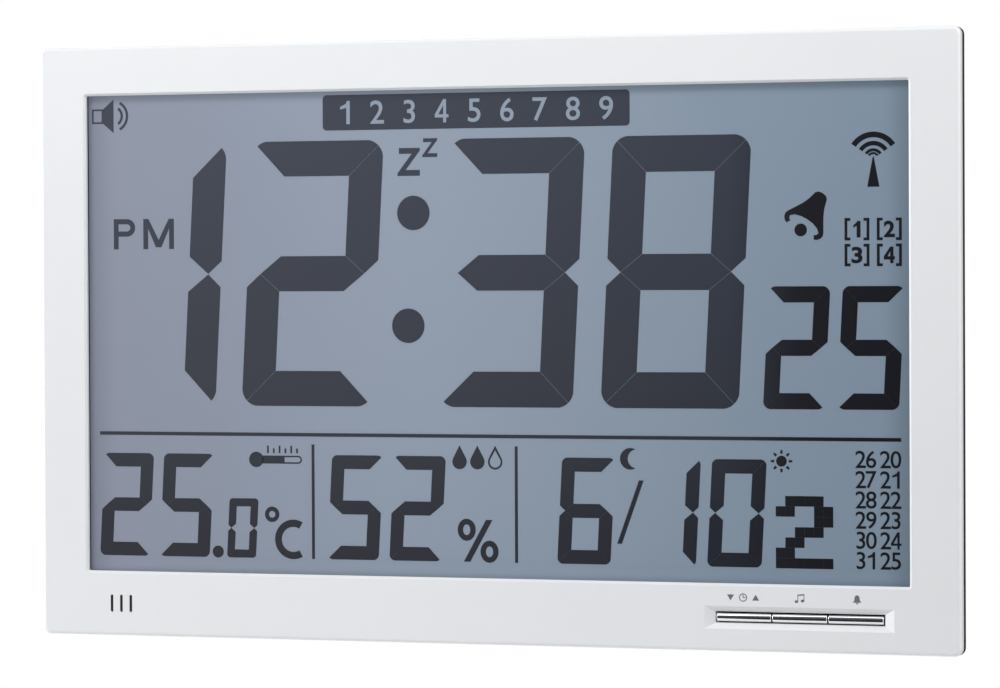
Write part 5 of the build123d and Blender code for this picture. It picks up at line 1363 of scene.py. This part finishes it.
def set_mark(x):
    """A small clock face with two hands, between an up and a down arrow."""
    face = flat_arc((x, MARK_Z), SET_FACE_R - SET_FACE_LINE, SET_FACE_R, 0, 360, SET_FACE_STEPS)
    return [face, *[flat_outline(over_bar(x, points)) for points in (SET_HANDS, SET_RISE, SET_FALL)]]


def note_mark(x):
    """Two joined notes: heads, stems and a beam."""
    heads = [flat_outline(ellipse(head, *NOTE_HEAD, OVAL_STEPS)) for head in over_bar(x, NOTE_HEADS)]
    stems = []
    for stem in NOTE_STEMS:
        foot, top = over_bar(x, stem)
        stems.append(flat_block(*foot, *top))
    return [*heads, *stems, flat_outline(over_bar(x, NOTE_BEAM))]


def bell_mark(x):
    """A small upright bell: a dome on a wide lip, and its clapper."""
    other = [(-aside, rise) for aside, rise in reversed(BELL_MARK_SIDE)]
    clapper, = over_bar(x, [BELL_MARK_CLAPPER])
    return [flat_outline(over_bar(x, BELL_MARK_SIDE + other)),
            flat_outline(ellipse(clapper, *BELL_MARK_OVAL, OVAL_STEPS))]


mark_finish, mark_tree, mark_shader = shaded("grey_print")
mark_speckle = place_effect(mark_tree, TONE_DRIFT, **PRINT_SPECKLE)
fill(mark_tree, mark_shader, {"Base Color": tinted(mark_tree, PRINT_GREY, mark_speckle),
                              "Roughness": PRINT_ROUGHNESS})
marks = set_mark(SET_MARK_X) + note_mark(NOTE_MARK_X) + bell_mark(BELL_MARK_X)
stand_sign("button_marks", marks, mark_finish, face=cad_low.y, thick=PRINT_T)

# %% [markdown]
# ## The plate on the back
# A plate of satin foil lies in a shallow recess of the back. On a product it would be printed; here it stays
# bare, with a plain border line. A flat colour on the recess would have no edge, so the plate is a thin sheet
# with round corners: a plane, bevelled at its corners, inset for the border and thickened.

# %% Lay the plate
PLATE_PLACE = Vector((-78.0, -0.30, -6.0)) * MM
PLATE_W = 83.2 * MM
PLATE_H = 39.2 * MM
PLATE_CORNER = 2.6 * MM
PLATE_CORNER_STEPS = 6
PLATE_T = 0.22 * MM
BORDER_INSET = 1.6 * MM
BORDER_LINE = 0.45 * MM
PLATE_FOIL = metal("plate_foil", (0.56, 0.57, 0.59), 0.42, 4000.0, 0.002 * MM, (0.02, 1.0, 1.0))


def on_border(plate, side):
    """Whether a face of the flat plate is part of its border line."""
    corners = [plate.data.vertices[place].co for place in side.vertices]
    reach = max(max(abs(co.x) - PLATE_W / 2, abs(co.y) - PLATE_H / 2) for co in corners)
    return len(corners) == 4 and reach < -0.9 * BORDER_INSET


def bare_plate():
    """A thin plate with round corners and a printed border line, facing the wall."""
    clear_bench()
    bpy.ops.mesh.primitive_plane_add(size=1.0)
    plate = bpy.context.object
    plate.name = "rating_plate"
    plate.data.name = "rating_plate"
    bpy.ops.object.mode_set(mode="EDIT")
    bpy.ops.transform.resize(value=(PLATE_W, PLATE_H, 1.0))
    bpy.ops.mesh.bevel(offset=PLATE_CORNER, segments=PLATE_CORNER_STEPS, affect="VERTICES")
    bpy.ops.mesh.select_all(action="SELECT")
    bpy.ops.mesh.inset(thickness=BORDER_INSET)
    bpy.ops.mesh.inset(thickness=BORDER_LINE)
    bpy.ops.object.mode_set(mode="OBJECT")
    for side in plate.data.polygons:
        side.material_index = 1 if on_border(plate, side) else 0
    thickened(plate, PLATE_T)
    plate.rotation_euler = (math.radians(90), 0.0, math.radians(180))
    plate.location = PLATE_PLACE
    bpy.ops.object.transform_apply(location=True, rotation=True)
    plate.data.materials.clear()
    plate.data.materials.append(PLATE_FOIL)
    plate.data.materials.append(mark_finish)
    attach(plate, "case")
    print("plate", [round(side / MM, 2) for side in plate.dimensions])


bare_plate()

# %% [markdown]
# ## The cells
# Four AA cells lie behind the door. Each is a steel can in a printed sleeve, with a raised nub at one end and
# a flat disc at the other. A cylinder would pass from afar, but an open door shows the crimped ends, so a
# disc is raised ring by ring, drawn in and out again on the way, and the printed signs are chosen from its
# faces.

# %% Raise a cell
CELLS_LOW, CELLS_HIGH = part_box("aa_cells")
CELL_LENGTH = 50.5
CELL_R = (CELLS_HIGH.y - CELLS_LOW.y) / 2 / MM
CELL_SIDES = 48
CELL_SMOOTH = math.radians(35)
SLEEVE_FOOT = 1.4
SLEEVE_TOP = 49.0
SLEEVE_TURN = 1.2
BAND_FOOT = 33.0
PLUS_RINGS = (38.2, 40.0, 41.8, 43.6)
MINUS_RINGS = (6.0, 7.8)
# height and radius of each ring, from the flat end to the nub
CELL_RINGS = [(0.0, 4.4), (0.25, 4.7), (0.25, 5.9), (0.05, 6.2), (0.05, 6.6), (0.5, CELL_R),
              *[(rise, CELL_R) for rise in (SLEEVE_FOOT, *MINUS_RINGS, BAND_FOOT, *PLUS_RINGS, 48.4)],
              (SLEEVE_TOP, CELL_R - 0.5), (49.1, CELL_R - 1.0), (48.8, CELL_R - 1.4), (48.8, 3.2),
              (49.0, 2.75), (50.0, 2.6), (50.3, 2.3), (50.4, 1.8)]


def raise_cell():
    """One cell standing on its flat end at the origin, extruded from ring to ring."""
    clear_bench()
    bpy.ops.mesh.primitive_circle_add(vertices=CELL_SIDES, radius=CELL_RINGS[0][1] * MM, fill_type="NGON")
    bpy.ops.object.mode_set(mode="EDIT")
    for (low, narrow), (high, wide) in zip(CELL_RINGS, CELL_RINGS[1:]):
        bpy.ops.mesh.extrude_region_move(TRANSFORM_OT_translate={"value": (0.0, 0.0, (high - low) * MM)})
        bpy.ops.transform.resize(value=(wide / narrow, wide / narrow, 1.0),
                                 center_override=(0.0, 0.0, high * MM))
    bpy.ops.mesh.select_all(action="SELECT")
    bpy.ops.mesh.normals_make_consistent(inside=False)
    bpy.ops.object.mode_set(mode="OBJECT")
    bpy.ops.object.shade_smooth_by_angle(angle=CELL_SMOOTH)
    return bpy.context.object


first_cell = raise_cell()
print("cell", [round(side / MM, 2) for side in first_cell.dimensions], len(first_cell.data.polygons), "faces")

# %% Print the sleeve
SLEEVE, BARE_METAL, BAND, PRINT = range(4)
SIGN_HALF_LINE = 0.95
SIGN_HALF_BAR = 2.85
CELL_BAND = metal("cell_band", (0.62, 0.63, 0.65), 0.30, 700.0, 0.004 * MM, (1.0, 0.1, 0.1))
CELL_PRINT = moulded("cell_print", (0.74, 0.75, 0.76), 0.35, 700.0, 0.004 * MM, 0.1, 0.0)


def cell_part(middle):
    """Which finish a face of a standing cell takes, by its middle."""
    rise = middle.z / MM
    round_by = abs(math.atan2(middle.x, middle.y)) * CELL_R
    if not SLEEVE_FOOT <= rise <= SLEEVE_TOP or middle.xy.length / MM < CELL_R - SLEEVE_TURN:
        return BARE_METAL
    on_stem = PLUS_RINGS[0] < rise < PLUS_RINGS[3] and round_by < SIGN_HALF_LINE
    on_bar = PLUS_RINGS[1] < rise < PLUS_RINGS[2] and round_by < SIGN_HALF_BAR
    if MINUS_RINGS[0] < rise < MINUS_RINGS[1] and round_by < SIGN_HALF_BAR:
        return PRINT
    return BAND if rise > BAND_FOOT and not (on_stem or on_bar) else SLEEVE


for side in first_cell.data.polygons:
    side.material_index = cell_part(side.center)
for finish in (finishes["cell_wrap"], finishes["contact_metal"], CELL_BAND, CELL_PRINT):
    first_cell.data.materials.append(finish)
print("printed faces", sum(side.material_index == PRINT for side in first_cell.data.polygons))

# %% Lay the cells in their rows
def lay_cells(cell):
    """Four cells in two rows that face opposite ways, joined as one piece in place of the plain ones."""
    rows = [(1, CELLS_HIGH.z - CELL_R * MM), (-1, CELLS_LOW.z + CELL_R * MM)]
    places = [(facing, facing * (CELLS_HIGH.x - step * CELL_LENGTH * MM), row_z)
              for facing, row_z in rows for step in (1, 2)]
    copies = [cell]
    while len(copies) < len(places):
        clear_bench()
        cell.select_set(True)
        bpy.context.view_layer.objects.active = cell
        bpy.ops.object.duplicate()
        copies.append(bpy.context.object)
    clear_bench()
    for copy, (facing, flat_x, row_z) in zip(copies, places):
        copy.rotation_euler = (0.0, facing * math.radians(90), 0.0)
        copy.location = (flat_x, (CELLS_LOW.y + CELLS_HIGH.y) / 2, row_z)
        copy.select_set(True)
    bpy.context.view_layer.objects.active = cell
    bpy.ops.object.join()
    bpy.ops.object.transform_apply(location=True, rotation=True)
    cell.name = "sleeved_cells"
    cell.data.name = "sleeved_cells"
    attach(cell, "case")
    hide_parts("aa_cells")
    print("cells", [round(side / MM, 2) for side in cell.dimensions])


lay_cells(first_cell)
